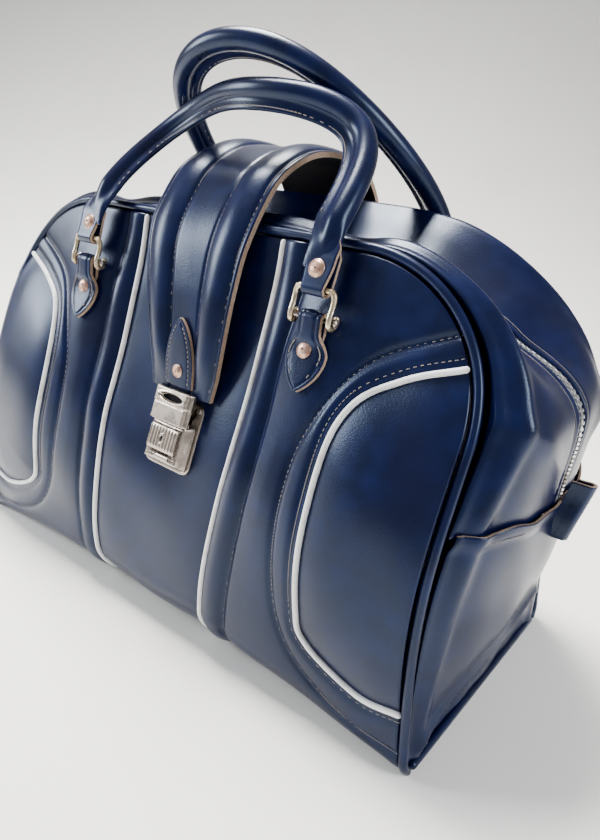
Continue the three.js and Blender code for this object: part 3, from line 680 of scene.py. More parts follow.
    def run_at(self, z: float) -> float:
        """The run of a height on an upright end."""
        return self.foot_arc + z - self.end_foot_radius


# ---- Finishes --------------------------------------------------------------------------------
class Tone(Enum):
    """Colours of the bag, in linear light."""

    NAVY = (0.0012, 0.0024, 0.0185)
    NAVY_LIGHT = (0.0018, 0.0044, 0.0330)
    PLUM = (0.0024, 0.0025, 0.0165)
    CUT_EDGE = (0.36, 0.25, 0.17)
    CUT_EDGE_DARK = (0.14, 0.10, 0.08)
    IVORY = (0.74, 0.75, 0.76)
    IVORY_WORN = (0.50, 0.49, 0.47)
    THREAD = (0.17, 0.16, 0.165)
    NICKEL = (0.40, 0.345, 0.30)
    NICKEL_DULL = (0.28, 0.235, 0.20)
    BRASS = (0.62, 0.53, 0.38)
    BRASS_DULL = (0.33, 0.25, 0.16)
    COPPER = (0.52, 0.33, 0.25)
    COPPER_DULL = (0.26, 0.15, 0.12)
    SILVER = (0.78, 0.78, 0.78)
    TAPE = (0.40, 0.42, 0.46)
    # Near black: painted shade for the keyhole, the hasp's hollow and the strap's underside.
    LINING_AND_SHADE = (0.0030, 0.0030, 0.0060)
    FLOOR = (0.88, 0.865, 0.82)
    FLOOR_SHADE = (0.85, 0.83, 0.78)


FINE_PORES = 2600.0


class Sketch:
    """A short way to place and join shader nodes."""

    def __init__(self, tree: bpy.types.NodeTree) -> None:
        """Starts on an empty tree."""
        self.tree = tree
        tree.nodes.clear()

    def add(self, kind: str, inputs: dict | None = None, **settings: object) -> bpy.types.Node:
        """Adds a node, sets its properties, and fills or links its inputs.

        Args:
            kind: The node's type name without the ShaderNode prefix.
            inputs: Socket name or number to a value, or to an output socket to link.
            settings: Node properties.

        Returns:
            The node.
        """
        prefix = "" if kind.startswith("NodeGroup") else "ShaderNode"
        node = self.tree.nodes.new(prefix + kind)
        for key, value in settings.items():
            setattr(node, key, value)
        for key, value in (inputs or {}).items():
            if isinstance(value, bpy.types.NodeSocket):
                self.tree.links.new(value, node.inputs[key])
            else:
                node.inputs[key].default_value = value
        return node

    def noise(self, place: bpy.types.NodeSocket, scale: object, detail: float) -> bpy.types.NodeSocket:
        """Cloudy noise from 0 to 1 at a place."""
        return self.add("TexNoise", {"Vector": place, "Scale": scale, "Detail": detail}).outputs["Fac"]

    def ramp(self, value: bpy.types.NodeSocket, low: float, high: float) -> bpy.types.NodeSocket:
        """Maps a value between two limits to the range 0 to 1, smoothly."""
        limits = {"Value": value, "From Min": low, "From Max": high}
        return self.add("MapRange", limits, interpolation_type="SMOOTHSTEP").outputs["Result"]

    def mix(self, share: object, first: object, second: object) -> bpy.types.NodeSocket:
        """Blends two colours."""
        node = self.add("Mix", {0: share, 6: first, 7: second}, data_type="RGBA")
        return node.outputs[2]

    def sum(self, operation: str, first: object, second: object) -> bpy.types.NodeSocket:
        """Joins two numbers with a Math node."""
        return self.add("Math", {0: first, 1: second}, operation=operation).outputs[0]


def rgba(tone: Tone) -> tuple[float, float, float, float]:
    """A colour with full alpha."""
    return (*tone.value, 1.0)


def new_group(
    name: str, inputs: dict[str, float], outputs: Sequence[str]
) -> tuple[bpy.types.NodeTree, Sketch]:
    """Starts a shader group with number inputs and outputs."""
    group = bpy.data.node_groups.new(name, "ShaderNodeTree")
    sketch = Sketch(group)
    for label, default in inputs.items():
        socket = group.interface.new_socket(label, in_out="INPUT", socket_type="NodeSocketFloat")
        socket.default_value = default
    for label in outputs:
        group.interface.new_socket(label, in_out="OUTPUT", socket_type="NodeSocketFloat")
    return group, sketch


def grain_group() -> bpy.types.NodeTree:
    """Pebbled leather: small rounded cells, with finer noise in them, and a soft cloud for tone and gloss.
    """
    group, sketch = new_group("pebble grain", {"Cells": 1500.0, "Soft": 60.0}, ["Height", "Cloud"])
    sizes = sketch.add("NodeGroupInput")
    place = sketch.add("TexCoord").outputs["Object"]
    cell_place = {"Vector": place, "Scale": sizes.outputs["Cells"]}
    cells = sketch.add("TexVoronoi", cell_place, feature="SMOOTH_F1")
    fine = sketch.noise(place, FINE_PORES, 3.0)
    cloud = sketch.noise(place, sizes.outputs["Soft"], 2.0)
    pebbles = sketch.sum("SUBTRACT", 1.0, cells.outputs["Distance"])
    height = sketch.sum("ADD", pebbles, sketch.sum("MULTIPLY", fine, 0.35))
    sketch.add("NodeGroupOutput", {"Height": height, "Cloud": cloud})
    return group


def patina_group() -> bpy.types.NodeTree:
    """Age on metal: cloudy dull patches, and fine scratches for the bump."""
    group, sketch = new_group("patina", {"Patches": 220.0, "Scratches": 900.0}, ["Dull", "Height"])
    sizes = sketch.add("NodeGroupInput")
    place = sketch.add("TexCoord").outputs["Object"]
    cloud = sketch.noise(place, sizes.outputs["Patches"], 6.0)
    stretched = sketch.add("Mapping", {"Vector": place, "Scale": (1.0, 1.0, 0.12)})
    lines = sketch.noise(stretched.outputs[0], sizes.outputs["Scratches"], 2.0)
    sketch.add("NodeGroupOutput", {"Dull": sketch.ramp(cloud, 0.42, 0.68), "Height": lines})
    return group


GRAIN, PATINA = "pebble grain", "patina"


def group_node(sketch: Sketch, name: str, **sizes: float) -> bpy.types.Node:
    """Places a shared group, building it the first time."""
    makers = {GRAIN: grain_group, PATINA: patina_group}
    tree = bpy.data.node_groups.get(name) or makers[name]()
    node = sketch.add("Group", node_tree=tree)
    for label, value in sizes.items():
        node.inputs[label].default_value = value
    return node


def start_material(name: str) -> tuple[bpy.types.Material, Sketch]:
    """A new material with an empty node tree."""
    material = bpy.data.materials.new(name)
    material.use_nodes = True
    return material, Sketch(material.node_tree)


def end_material(sketch: Sketch, inputs: dict, height: object, depth: float, strength: float) -> None:
    """Adds the Principled shader with a bump, and the output."""
    bump = sketch.add("Bump", {"Height": height, "Distance": depth, "Strength": strength})
    shader = sketch.add("BsdfPrincipled", {**inputs, "Normal": bump.outputs["Normal"]})
    sketch.add("OutputMaterial", {"Surface": shader.outputs[0]})


@dataclass(frozen=True)
class Leatherette:
    """Coated cloth with a pebbled grain, cloudy gloss, and a tan cut edge where raw is 1."""

    name: str
    base: Tone = Tone.NAVY
    light: Tone = Tone.NAVY_LIGHT
    tint: Tone = Tone.PLUM
    cells: float = 1100.0
    depth: float = 0.18 * MM
    gloss: float = 0.29
    shine: float = 0.27
    cast: tuple = (0.50, 0.70, 1.0, 1.0)

    def build(self) -> bpy.types.Material:
        """Makes the material."""
        material, sketch = start_material(self.name)
        grain = group_node(sketch, GRAIN, Cells=self.cells)
        place = sketch.add("TexCoord").outputs["Object"]
        broad = sketch.noise(place, 9.0, 1.0)
        navy = sketch.mix(sketch.ramp(grain.outputs["Cloud"], 0.3, 0.75), rgba(self.base), rgba(self.light))
        worn = sketch.mix(sketch.ramp(broad, 0.52, 0.75), navy, rgba(self.tint))
        fibre = sketch.noise(place, 1400.0, 2.0)
        cut_colour = sketch.mix(sketch.ramp(fibre, 0.35, 0.7), rgba(Tone.CUT_EDGE), rgba(Tone.CUT_EDGE_DARK))
        cut = sketch.add("Attribute", attribute_name="raw").outputs["Fac"]
        colour = sketch.mix(cut, worn, cut_colour)
        cloudy = sketch.sum("MULTIPLY_ADD", grain.outputs["Cloud"], 0.06)
        cloudy.node.inputs[2].default_value = self.gloss - 0.03
        rough = sketch.sum("MAXIMUM", cloudy, sketch.sum("MULTIPLY", cut, 0.9))
        coat = sketch.sum("MULTIPLY", sketch.sum("SUBTRACT", 1.0, cut), 0.12)
        inputs = {"Base Color": colour, "Roughness": rough, "Coat Weight": coat, "Coat Roughness": 0.26}
        inputs |= {"Specular IOR Level": self.shine, "Specular Tint": self.cast}
        end_material(sketch, inputs, grain.outputs["Height"], self.depth, 0.45)
        return material


@dataclass(frozen=True)
class Metal:
    """Old plated metal with dull patches and fine scratches."""

    name: str
    bright: Tone
    dull: Tone
    gloss: float = 0.26
    patches: float = 110.0

    def build(self) -> bpy.types.Material:
        """Makes the material."""
        material, sketch = start_material(self.name)
        age = group_node(sketch, PATINA, Patches=self.patches)
        colour = sketch.mix(age.outputs["Dull"], rgba(self.bright), rgba(self.dull))
        rough = sketch.sum("MULTIPLY_ADD", age.outputs["Dull"], 0.28)
        rough.node.inputs[2].default_value = self.gloss
        inputs = {"Base Color": colour, "Roughness": rough, "Metallic": 1.0}
        end_material(sketch, inputs, age.outputs["Height"], 0.05 * MM, 0.3)
        return material


@dataclass(frozen=True)
class Plain:
    """A cloudy two-tone surface with a fine bump, used for piping, thread, tape, board and the near-black
    painted shade of hollows and the strap's underside.
    """

    name: str
    base: Tone
    worn: Tone
    roughness: float
    scale: float = 90.0
    bump_scale: float = 1800.0
    depth: float = 0.1 * MM
    coat: float = 0.0
    shine: float = 0.5

    def build(self) -> bpy.types.Material:
        """Makes the material."""
        material, sketch = start_material(self.name)
        place = sketch.add("TexCoord").outputs["Object"]
        cloud = sketch.noise(place, self.scale, 5.0)
        fine = sketch.noise(place, self.bump_scale, 2.0)
        colour = sketch.mix(sketch.ramp(cloud, 0.48, 0.78), rgba(self.base), rgba(self.worn))
        inputs = {"Base Color": colour, "Roughness": self.roughness, "Coat Weight": self.coat}
        inputs |= {"Specular IOR Level": self.shine}
        end_material(sketch, inputs, fine, self.depth, 0.5)
        return material


class Finishes:
    """Every material of the bag, each built once."""

    def __init__(self) -> None:
        """Builds the materials."""
        self.leather = Leatherette("navy leatherette").build()
        self.rolled = Leatherette("rolled leatherette", cells=1900.0, gloss=0.28, depth=0.1 * MM).build()
        self.edge = Leatherette("edge piping", cells=2400.0, gloss=0.3, depth=0.06 * MM).build()
        self.trim = Plain("ivory piping", Tone.IVORY, Tone.IVORY_WORN, 0.38, coat=0.2).build()
        self.thread = Plain("sewing thread", Tone.THREAD, Tone.NICKEL_DULL, 0.8, bump_scale=3000.0).build()
        # Near-black painted shade, used on the strap's underside and in the lock's hollows.
        self.lining_and_shade = Plain("black lining and painted shade", Tone.LINING_AND_SHADE, Tone.PLUM, 0.75, shine=0.08).build()
        self.cut = Plain("cut edge", Tone.CUT_EDGE, Tone.NICKEL_DULL, 0.85).build()
        self.board = Plain("stiffening board", Tone.NICKEL_DULL, Tone.CUT_EDGE, 0.9).build()
        woven = {"bump_scale": 2600.0, "depth": 0.2 * MM}
        self.tape = Plain("zip tape", Tone.TAPE, Tone.NICKEL_DULL, 0.9, **woven).build()
        self.nickel = Metal("aged nickel", Tone.NICKEL, Tone.NICKEL_DULL).build()
        self.silver = Metal("zip metal", Tone.SILVER, Tone.NICKEL, gloss=0.2).build()
        self.brass = Metal("worn brass", Tone.BRASS, Tone.BRASS_DULL, gloss=0.26).build()
        self.copper = Metal("dull copper", Tone.COPPER, Tone.COPPER_DULL, gloss=0.34, patches=420.0).build()


def dress(
    piece: bpy.types.Object,
    material: bpy.types.Material,
    body: str,
    replaced: Sequence[str] = (),
) -> bpy.types.Object:
    """Gives a piece its material and its body, and hides the frame nodes that it stands for."""
    piece.data.materials.clear()
    piece.data.materials.append(material)
    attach(piece, body)
    if replaced:
        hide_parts(*replaced)
    LOG.info("%s: %d faces on %s", piece.name, len(piece.data.polygons), body)
    return piece


def line(piece: bpy.types.Object, material: bpy.types.Material, share: slice) -> None:
    """Gives a run of a piece's faces a second material.

    Args:
        piece: A piece that is already dressed.
        material: The second material.
        share: Which faces, in the order that they were made.
    """
    piece.data.materials.append(material)
    index = np.zeros(len(piece.data.polygons), np.int32)
    index[share] = 1
    piece.data.polygons.foreach_set("material_index", index)


# ---- Panels ----------------------------------------------------------------------------------
@dataclass
class Panels:
    """The padded front and back: pressed middle, quilted bands, white piping and stitching."""

    form: Form
    finishes: Finishes
    thread: Thread = Thread()
    inset: float = 4.0 * MM
    rows: int = 172
    columns: int = 250
    centre_top: float = 67 * MM
    centre_foot: float = 58 * MM
    fold_height: float = 150 * MM
    band: float = 22 * MM
    ridge: float = 4.4 * MM
    ridge_power: float = 0.75
    inlay_puff: float = 5.5 * MM
    inlay_softness: float = 15 * MM
    inlay_margin: float = 6 * MM
    field: Swell = Swell(1.9 * MM, 7 * MM)
    middle: Swell = Swell(2.4 * MM, 11 * MM)
    groove: Ridge = Ridge(-1.5 * MM, 1.9 * MM)
    shallow_groove: Ridge = Ridge(-1.05 * MM, 1.9 * MM)
    welt: Ridge = Ridge(-1.6 * MM, 3.2 * MM)
    drawn_out: float = 6.4 * MM
    drawn_height: float = 236 * MM
    trim_radius: float = 2.0 * MM
    outer_seam: tuple = (
        (206, 34), (152, 63), (124, 112), (118, 150), (122, 205), (131, 240), (152, 266), (190, 284),
        (228, 287),
    )
    inlay: tuple = (
        (209, 54), (176, 68), (150, 89), (141, 130), (145, 216), (155, 242), (194, 259), (224, 257),
    )

    def centre_x(self, drop: Array) -> Array:
        """How far the centre piping lies from the middle: it narrows towards the foot."""
        share = clamp01(self.form.height_at(self.centre_foot, drop) / self.fold_height)
        return self.centre_foot + (self.centre_top - self.centre_foot) * share

    def outer_line(self, count: int = 90) -> Array:
        """The long sewn line between the band and the inlay, as (x, drop)."""
        return spline(np.array(self.outer_seam) * MM, count)

    def inlay_line(self, count: int = 110) -> Array:
        """The line of the white inlay piping, as (x, drop)."""
        return spline(np.array(self.inlay) * MM, count)

    def border(self, inset: float, count: int = 160) -> Array:
        """A line along the right border and the top, a constant way inside the piping."""
        b = np.linspace(0, 1, count)
        x, drop = self.form.side_border(b, inset)
        top_x, top_drop = self.form.top_border(1 - np.linspace(0, 0.5, count // 2)[1:], inset)
        return np.vstack([np.stack([x, drop], 1), np.stack([top_x, top_drop], 1)])

    def relief(self, x: Array, drop: Array) -> Array:
        """Height of the padding and the sewing above the plain skin.

        The band beside the centre piping is a rounded ridge, ridge * sin(pi u)^0.75. The middle
        and the fields between seams swell from their seams, and so does the inlay, with the
        power 1.2 of the distance. Every seam is a groove. Long shallow waves lie over all of
        it, and the leather is drawn out under the ring tabs.
        """
        place = np.stack([np.abs(x), drop + 0 * x], axis=-1)
        outer, _ = nearest(place, self.outer_line())
        inlay_path = self.inlay_line()
        before = [245 * MM, inlay_path[0, 1] - self.inlay_margin]
        long_inlay = np.vstack([before, inlay_path, [250 * MM, inlay_path[-1, 1]]])
        inlay, inlay_side = nearest(place, long_inlay)
        edge, _ = nearest(place, self.border(0.0))
        seam = self.centre_x(drop)
        across = (np.abs(x) - seam) / self.band
        inside = inlay_side < 0
        height = self.ridge * np.sin(np.pi * clamp01(across)) ** self.ridge_power
        from_band = (across - 1) * self.band
        room = np.minimum(outer, np.minimum(inlay, np.abs(from_band)))
        height = height + np.where((across > 1) & ~inside, self.field.at(room), 0)
        risen = 1 - np.exp(-((inlay / self.inlay_softness) ** 1.2))
        height = height + np.where(inside, self.inlay_puff * risen, 0)
        height = height + np.where(across < 0, self.middle.at(-across * self.band), 0)
        height = height + self.groove.at(outer) + self.groove.at(from_band)
        height = height + self.shallow_groove.at(inlay - self.inlay_margin) * ~inside
        height = height + self.welt.at(edge)
        z = self.form.height_at(x, drop)
        waves = np.sin(x / (15 * MM) + 1.3) * np.sin(z / (12 * MM) + 0.7) * 0.22
        waves = waves + 0.35 * np.sin((x + 1.7 * z) / (23 * MM)) + 0.3 * np.sin((2 * x - z) / (31 * MM) + 2)
        drawn = hump(np.abs(x) - self.form.chape_x, 34 * MM) * hump(z - self.drawn_height, 38 * MM)
        fade = ease(0, 26 * MM, edge)
        padded = (height + waves * MM) * fade + height * (1 - fade) * 0.9
        return padded + self.drawn_out * drawn

    def on_skin(self, side: int, line: Array, hand: int, lift: float) -> tuple[Array, Array]:
        """Carries a line of (x, drop) onto the padded skin, with its normals."""
        x, drop = hand * line[:, 0], line[:, 1]
        height = self.relief(x, drop) + lift
        return self.form.above_skin(side, x, drop, height), self.form.skin_normal(side, x, drop)

    def panel(self, side: int) -> bpy.types.Object:
        """One padded panel, as a closed sheet of the skin plus its relief."""
        a, b = np.meshgrid(np.linspace(0, 1, self.columns), np.linspace(0, 1, self.rows))
        x, drop = self.form.panel_place(a, b, self.inset)
        outer = self.form.above_skin(side, x, drop, self.relief(x, drop))
        inner = self.form.above_skin(side, x, drop, np.full_like(x, -self.form.wall))
        return slab(f"{SIDE_NAMES[side]}_padded_panel", outer, inner)

    def trim(self, side: int, hand: int, kind: str) -> bpy.types.Object:
        """A white piping: a rod half sunk in its seam."""
        if kind == "inlay":
            path = self.inlay_line(200)
        else:
            drop = np.linspace(6 * MM, self.form.full_drop(self.centre_foot) - 14 * MM, 190)
            path = np.stack([self.centre_x(drop), drop], axis=1)
        middle, normal = self.on_skin(side, path, hand, 1.1 * MM)
        name = f"{kind}_trim_{corner_name(side, hand)}"
        return loft(name, round_ended(middle, self.trim_radius, 10, normal[0]))

    def stitching(self, side: int) -> bpy.types.Object:
        """Every row of stitches on a panel."""
        lines = [self.outer_line(160)]
        drop = np.linspace(9 * MM, self.form.full_drop(self.centre_foot + self.band) - 8 * MM, 160)
        lines.append(np.stack([self.centre_x(drop) + self.band, drop], axis=1))
        path = self.inlay_line(160)
        along = tangents(path)
        lines.append(path + np.stack([-along[:, 1], along[:, 0]], axis=1) * self.inlay_margin)
        rows = [self.on_skin(side, each, hand, 0.25 * MM) for each in lines for hand in (LEFT, RIGHT)]
        return self.thread.sew(f"{SIDE_NAMES[side]}_panel_stitches", rows)

    def build(self) -> None:
        """Makes both panels."""
        for side in (FRONT, BACK):
            word = SIDE_NAMES[side]
            looks = self.finishes
            leather = dress(self.panel(side), looks.leather, "bag", [f"{word}_panel"])
            dress(self.stitching(side), looks.thread, "bag")
            for hand in (LEFT, RIGHT):
                for kind in ("inlay", "centre"):
                    node = f"{kind}_piping_{corner_name(side, hand)}"
                    dress(self.trim(side, hand, kind), looks.trim, "bag", [node])


# ---- Gussets ---------------------------------------------------------------------------------
@dataclass
class Gussets:
    """The zipped top that runs down both ends, the plain lower ends, the base and its piping."""

    form: Form
    finishes: Finishes
    thread: Thread = Thread()
    inset: float = 4.0 * MM
    seam_height: float = 160 * MM
    slot: float = 5.2 * MM
    edge_radius: float = 3.0 * MM
    clearance: float = 0.4 * MM
    welt: Ridge = Ridge(-1.4 * MM, 3.5 * MM)
    sewn: Ridge = Ridge(-1.2 * MM, 2.6 * MM)
    sewn_place: float = 8.5 * MM
    tuck: Ridge = Ridge(2.8 * MM, 5.5 * MM)
    tuck_place: float = 15 * MM
    lip: Ridge = Ridge(1.5 * MM, 3.0 * MM)
    lip_seam: Ridge = Ridge(-0.7 * MM, 1.6 * MM)
    lip_seam_place: float = 5.5 * MM
    corner_fold: Ridge = Ridge(3.0 * MM, 9 * MM)
    end_dip: Ridge = Ridge(-1.2 * MM, 9 * MM)
    crease_ridge: Ridge = Ridge(4.5 * MM, 5.5 * MM)
    crease_hollow: Ridge = Ridge(-7.0 * MM, 15 * MM)
    hollow_place: float = 17 * MM
    crease: tuple = ((-106, 4), (-84, 28), (-38, 46), (2, 56), (14, 84))
    skin_wall: float = 1.6 * MM
    tab_lean: float = 0.22
    tab_half: float = 20 * MM
    tab_wall: float = 1.9 * MM
    tab_loop: tuple = (
        (-1, -5.0), (4, -4.4), (8, -4.2), (11.2, -3.6), (13.2, 0), (11.2, 3.4), (8, 4.0), (4, 3.2),
        (1, 3.6),
    )

    def relief(self, run: Array, y: Array) -> Array:
        """Height above the plain gusset: a sewn groove and a tuck by the piping, and soft waves."""
        at = self.form.station(run)
        edge = self.form.half_depth(at["z"]) - np.abs(y)
        height = self.welt.at(edge) + self.sewn.at(edge - self.sewn_place)
        height = height + self.tuck.at(edge - self.tuck_place)
        waves = 0.5 * np.sin(run / (17 * MM) + 40 * y) * np.sin(y / (9 * MM) + 1)
        waves = waves + 0.9 * np.sin(run / (38 * MM) + y / (21 * MM)) * ease(0.1, 0.25, at["climb"])
        return height + waves * MM * ease(4 * MM, 30 * MM, edge)

    def top_relief(self, run: Array, y: Array) -> Array:
        """The relief of the zipped halves: also a folded lip with a sewn line behind it."""
        zipper = np.abs(y) - self.slot
        lip = self.lip.at(zipper) + self.lip_seam.at(zipper - self.lip_seam_place)
        along = 2 * self.form.half_run - run
        ending = np.minimum(run, along) - self.form.run_at(self.seam_height)
        fold = self.corner_fold.at(ending - 0.55 * np.abs(y) - 24 * MM)
        fold = fold * ease(20 * MM, 50 * MM, np.abs(y))
        return self.relief(run, y) + lip + fold + self.end_dip.at(ending)

    def end_relief(self, run: Array, y: Array) -> Array:
        """The relief of a lower end: a long crease, with the leather pressed in below it."""
        at = self.form.station(run)
        place = np.stack([y + 0 * run, at["z"]], axis=-1)
        crease, side = nearest(place, spline(np.array(self.crease) * MM, 60))
        strength = ease(0, 20 * MM, at["z"]) * ease(0, 25 * MM, self.form.half_depth(at["z"]) - np.abs(y))
        below = np.where(side < 0, self.crease_hollow.at(crease - self.hollow_place), 0)
        return self.relief(run, y) + (self.crease_ridge.at(crease) + below) * strength

    def top_half(self, side: int) -> bpy.types.Object:
        """The front or back half of the zipped top."""
        start = self.form.run_at(self.seam_height) + 0.4 * MM
        run = np.linspace(start, 2 * self.form.half_run - start, 340)[:, None]
        share = np.linspace(0, 1, 58)[None, :]
        reach = self.form.half_depth(self.form.station(run)["z"]) - self.inset
        y = side * (self.slot + share * (reach - self.slot))
        height = self.top_relief(run, y)
        curl = np.exp(-share * 40) * 1.6 * MM
        outer = self.form.gusset(run, y, height - curl)
        inner = self.form.gusset(run, y, -self.form.wall)
        return slab(f"zipped_top_{SIDE_NAMES[side]}", outer, inner)

    def lower_end(self, hand: int) -> bpy.types.Object:
        """A plain end, whose cut upper edge laps over the zipped halves."""
        foot = self.form.foot_run(2 * (self.edge_radius + self.clearance))
        top = self.form.run_at(self.seam_height) + 3.2 * MM
        run = np.linspace(foot, top, 112)[:, None]
        share = np.linspace(-1, 1, 116)[None, :]
        reach = self.form.half_depth(self.form.station(run)["z"]) - self.inset - 0.6 * MM
        y = share * reach
        wave = 1.4 * MM * np.sin(y / (13 * MM) + 0.6) + 0.8 * MM * np.sin(y / (5.5 * MM))
        shifted = run + wave * ease(top - 30 * MM, top, run)
        lap = 2.6 * MM * ease(top - 12 * MM, top - 3 * MM, run)
        height = self.end_relief(shifted, y) + lap
        outer = self.form.gusset(self.side_run(hand, shifted), y, height)
        inner = self.form.gusset(self.side_run(hand, shifted), y, height - self.skin_wall)
        return slab(f"lower_end_{HAND_NAMES[hand]}", outer, inner, Rim.LAST_ROW)

    def side_run(self, hand: int, run: Array) -> Array:
        """A run on the right end, or its mirror image on the left one."""
        return run if hand == RIGHT else 2 * self.form.half_run - run

    def edge_piping(self, side: int) -> bpy.types.Object:
        """The covered piping round a panel: a rod whose middle line wavers a little along its length."""
        start = self.form.foot_run(self.edge_radius + self.clearance)
        run = np.linspace(start, 2 * self.form.half_run - start, 460)
        at = self.form.station(run)
        y = side * (self.form.half_depth(at["z"]) + 0.15 * MM * np.sin(run / (11 * MM)))
        path = np.stack([at["x"], y, at["z"]], axis=1)
        rings = round_ended(path, self.edge_radius, 14, np.array([0.0, side, 0.0]))
        return loft(f"edge_roll_{SIDE_NAMES[side]}", rings)

    def base_piping(self, hand: int) -> bpy.types.Object:
        """The piping along a short side of the base."""
        height = self.edge_radius + self.clearance
        reach = float(self.form.half_depth(np.array(height))) - self.clearance - 2 * self.edge_radius
        y = np.linspace(-reach, reach, 60)
        x = np.full_like(y, hand * (self.form.half_width + self.form.flare))
        path = np.stack([x, y, np.full_like(y, height)], axis=1)
        rings = round_ended(path, self.edge_radius, 14, np.array([0, 0, 1.0]))
        return loft(f"base_roll_{HAND_NAMES[hand]}", rings)

    def base(self) -> bpy.types.Object:
        """The underside: flat where it stands, drawn up a little at its sewn edges."""
        half_x = self.form.half_width + self.form.flare - self.inset
        x, share = np.meshgrid(np.linspace(-half_x, half_x, 90), np.linspace(-1, 1, 36))
        half_y = self.form.belly_half_depth - self.form.foot_at(x) - 1 * MM
        y = share * half_y
        edge = np.minimum(half_x - np.abs(x), half_y - np.abs(y))
        low = 0.9 * MM * np.exp(-edge / (4 * MM)) + 0.5 * MM * hump(edge - 9 * MM, 1.6 * MM)
        inside = np.stack([x, y, np.full_like(x, self.form.wall)], axis=-1)
        return slab("base_sheet", np.stack([x, y, low], axis=-1), inside)

    def stitching(self) -> bpy.types.Object:
        """Rows beside the zip and across the end seams."""
        rows = []
        start = self.form.run_at(self.seam_height) + 6 * MM
        run = np.linspace(start, 2 * self.form.half_run - start, 320)
        for side in (FRONT, BACK):
            y = np.full_like(run, side * (self.slot + self.lip_seam_place))
            path = self.form.gusset(run, y, self.top_relief(run, y) + 0.2 * MM)
            above = self.form.gusset(run, y, self.top_relief(run, y) + 5 * MM)
            rows.append((path, unit(above - path)))
        for hand in (LEFT, RIGHT):
            y = np.linspace(-82 * MM, 82 * MM, 90)
            run = np.full_like(y, self.form.run_at(self.seam_height) - 2.5 * MM)
            lift = self.end_relief(run, y) + 1.8 * MM
            path = self.form.gusset(self.side_run(hand, run), y, lift)
            rows.append((path, np.broadcast_to([float(hand), 0.0, 0.1], path.shape)))
        return self.thread.sew("gusset_stitches", rows)

    def end_tab(self, hand: int) -> bpy.types.Object:
        """A folded strip sewn over the zip's end: a loop that stands out, with cut edges."""
        seat = self.form.gusset(np.array(self.form.run_at(self.seam_height)), np.array(0.0))
        path = spline(np.array(self.tab_loop) * MM, 70)
        middle, half = np.zeros(len(path)), np.full(len(path), self.tab_half)
        outer, inner = ribbon(path, middle, half, -self.tab_wall, 30)
        bend = 1.8 * MM * np.sin(outer[..., 0] / (8 * MM))
        grids = []
        for grid in (outer, inner):
            x = hand * (seat[0] + 1.4 * MM + grid[..., 1] + self.tab_lean * grid[..., 0])
            grids.append(np.stack([x, grid[..., 2] + bend, seat[2] - 2 * MM + grid[..., 0]], axis=-1))
        return slab(f"zip_end_loop_{HAND_NAMES[hand]}", grids[0], grids[1], Rim.ALL)

    def build(self) -> None:
        """Makes the gussets, the base and the dark piping."""
        looks = self.finishes
        for side in (FRONT, BACK):
            word = SIDE_NAMES[side]
            half = dress(self.top_half(side), looks.leather, "bag", [f"top_gusset_{word}"])
            dress(self.edge_piping(side), looks.edge, "bag", [f"edge_piping_{word}"])
        for hand in (LEFT, RIGHT):
            word = HAND_NAMES[hand]
            end = dress(self.lower_end(hand), looks.leather, "bag", [f"end_gusset_{word}"])
            dress(self.base_piping(hand), looks.edge, "bag", [f"base_piping_{word}"])
            dress(self.end_tab(hand), looks.rolled, "bag", [f"zip_end_tab_{word}"])
        dress(self.base(), looks.leather, "bag", ["base_panel"])
        dress(self.stitching(), looks.thread, "bag")


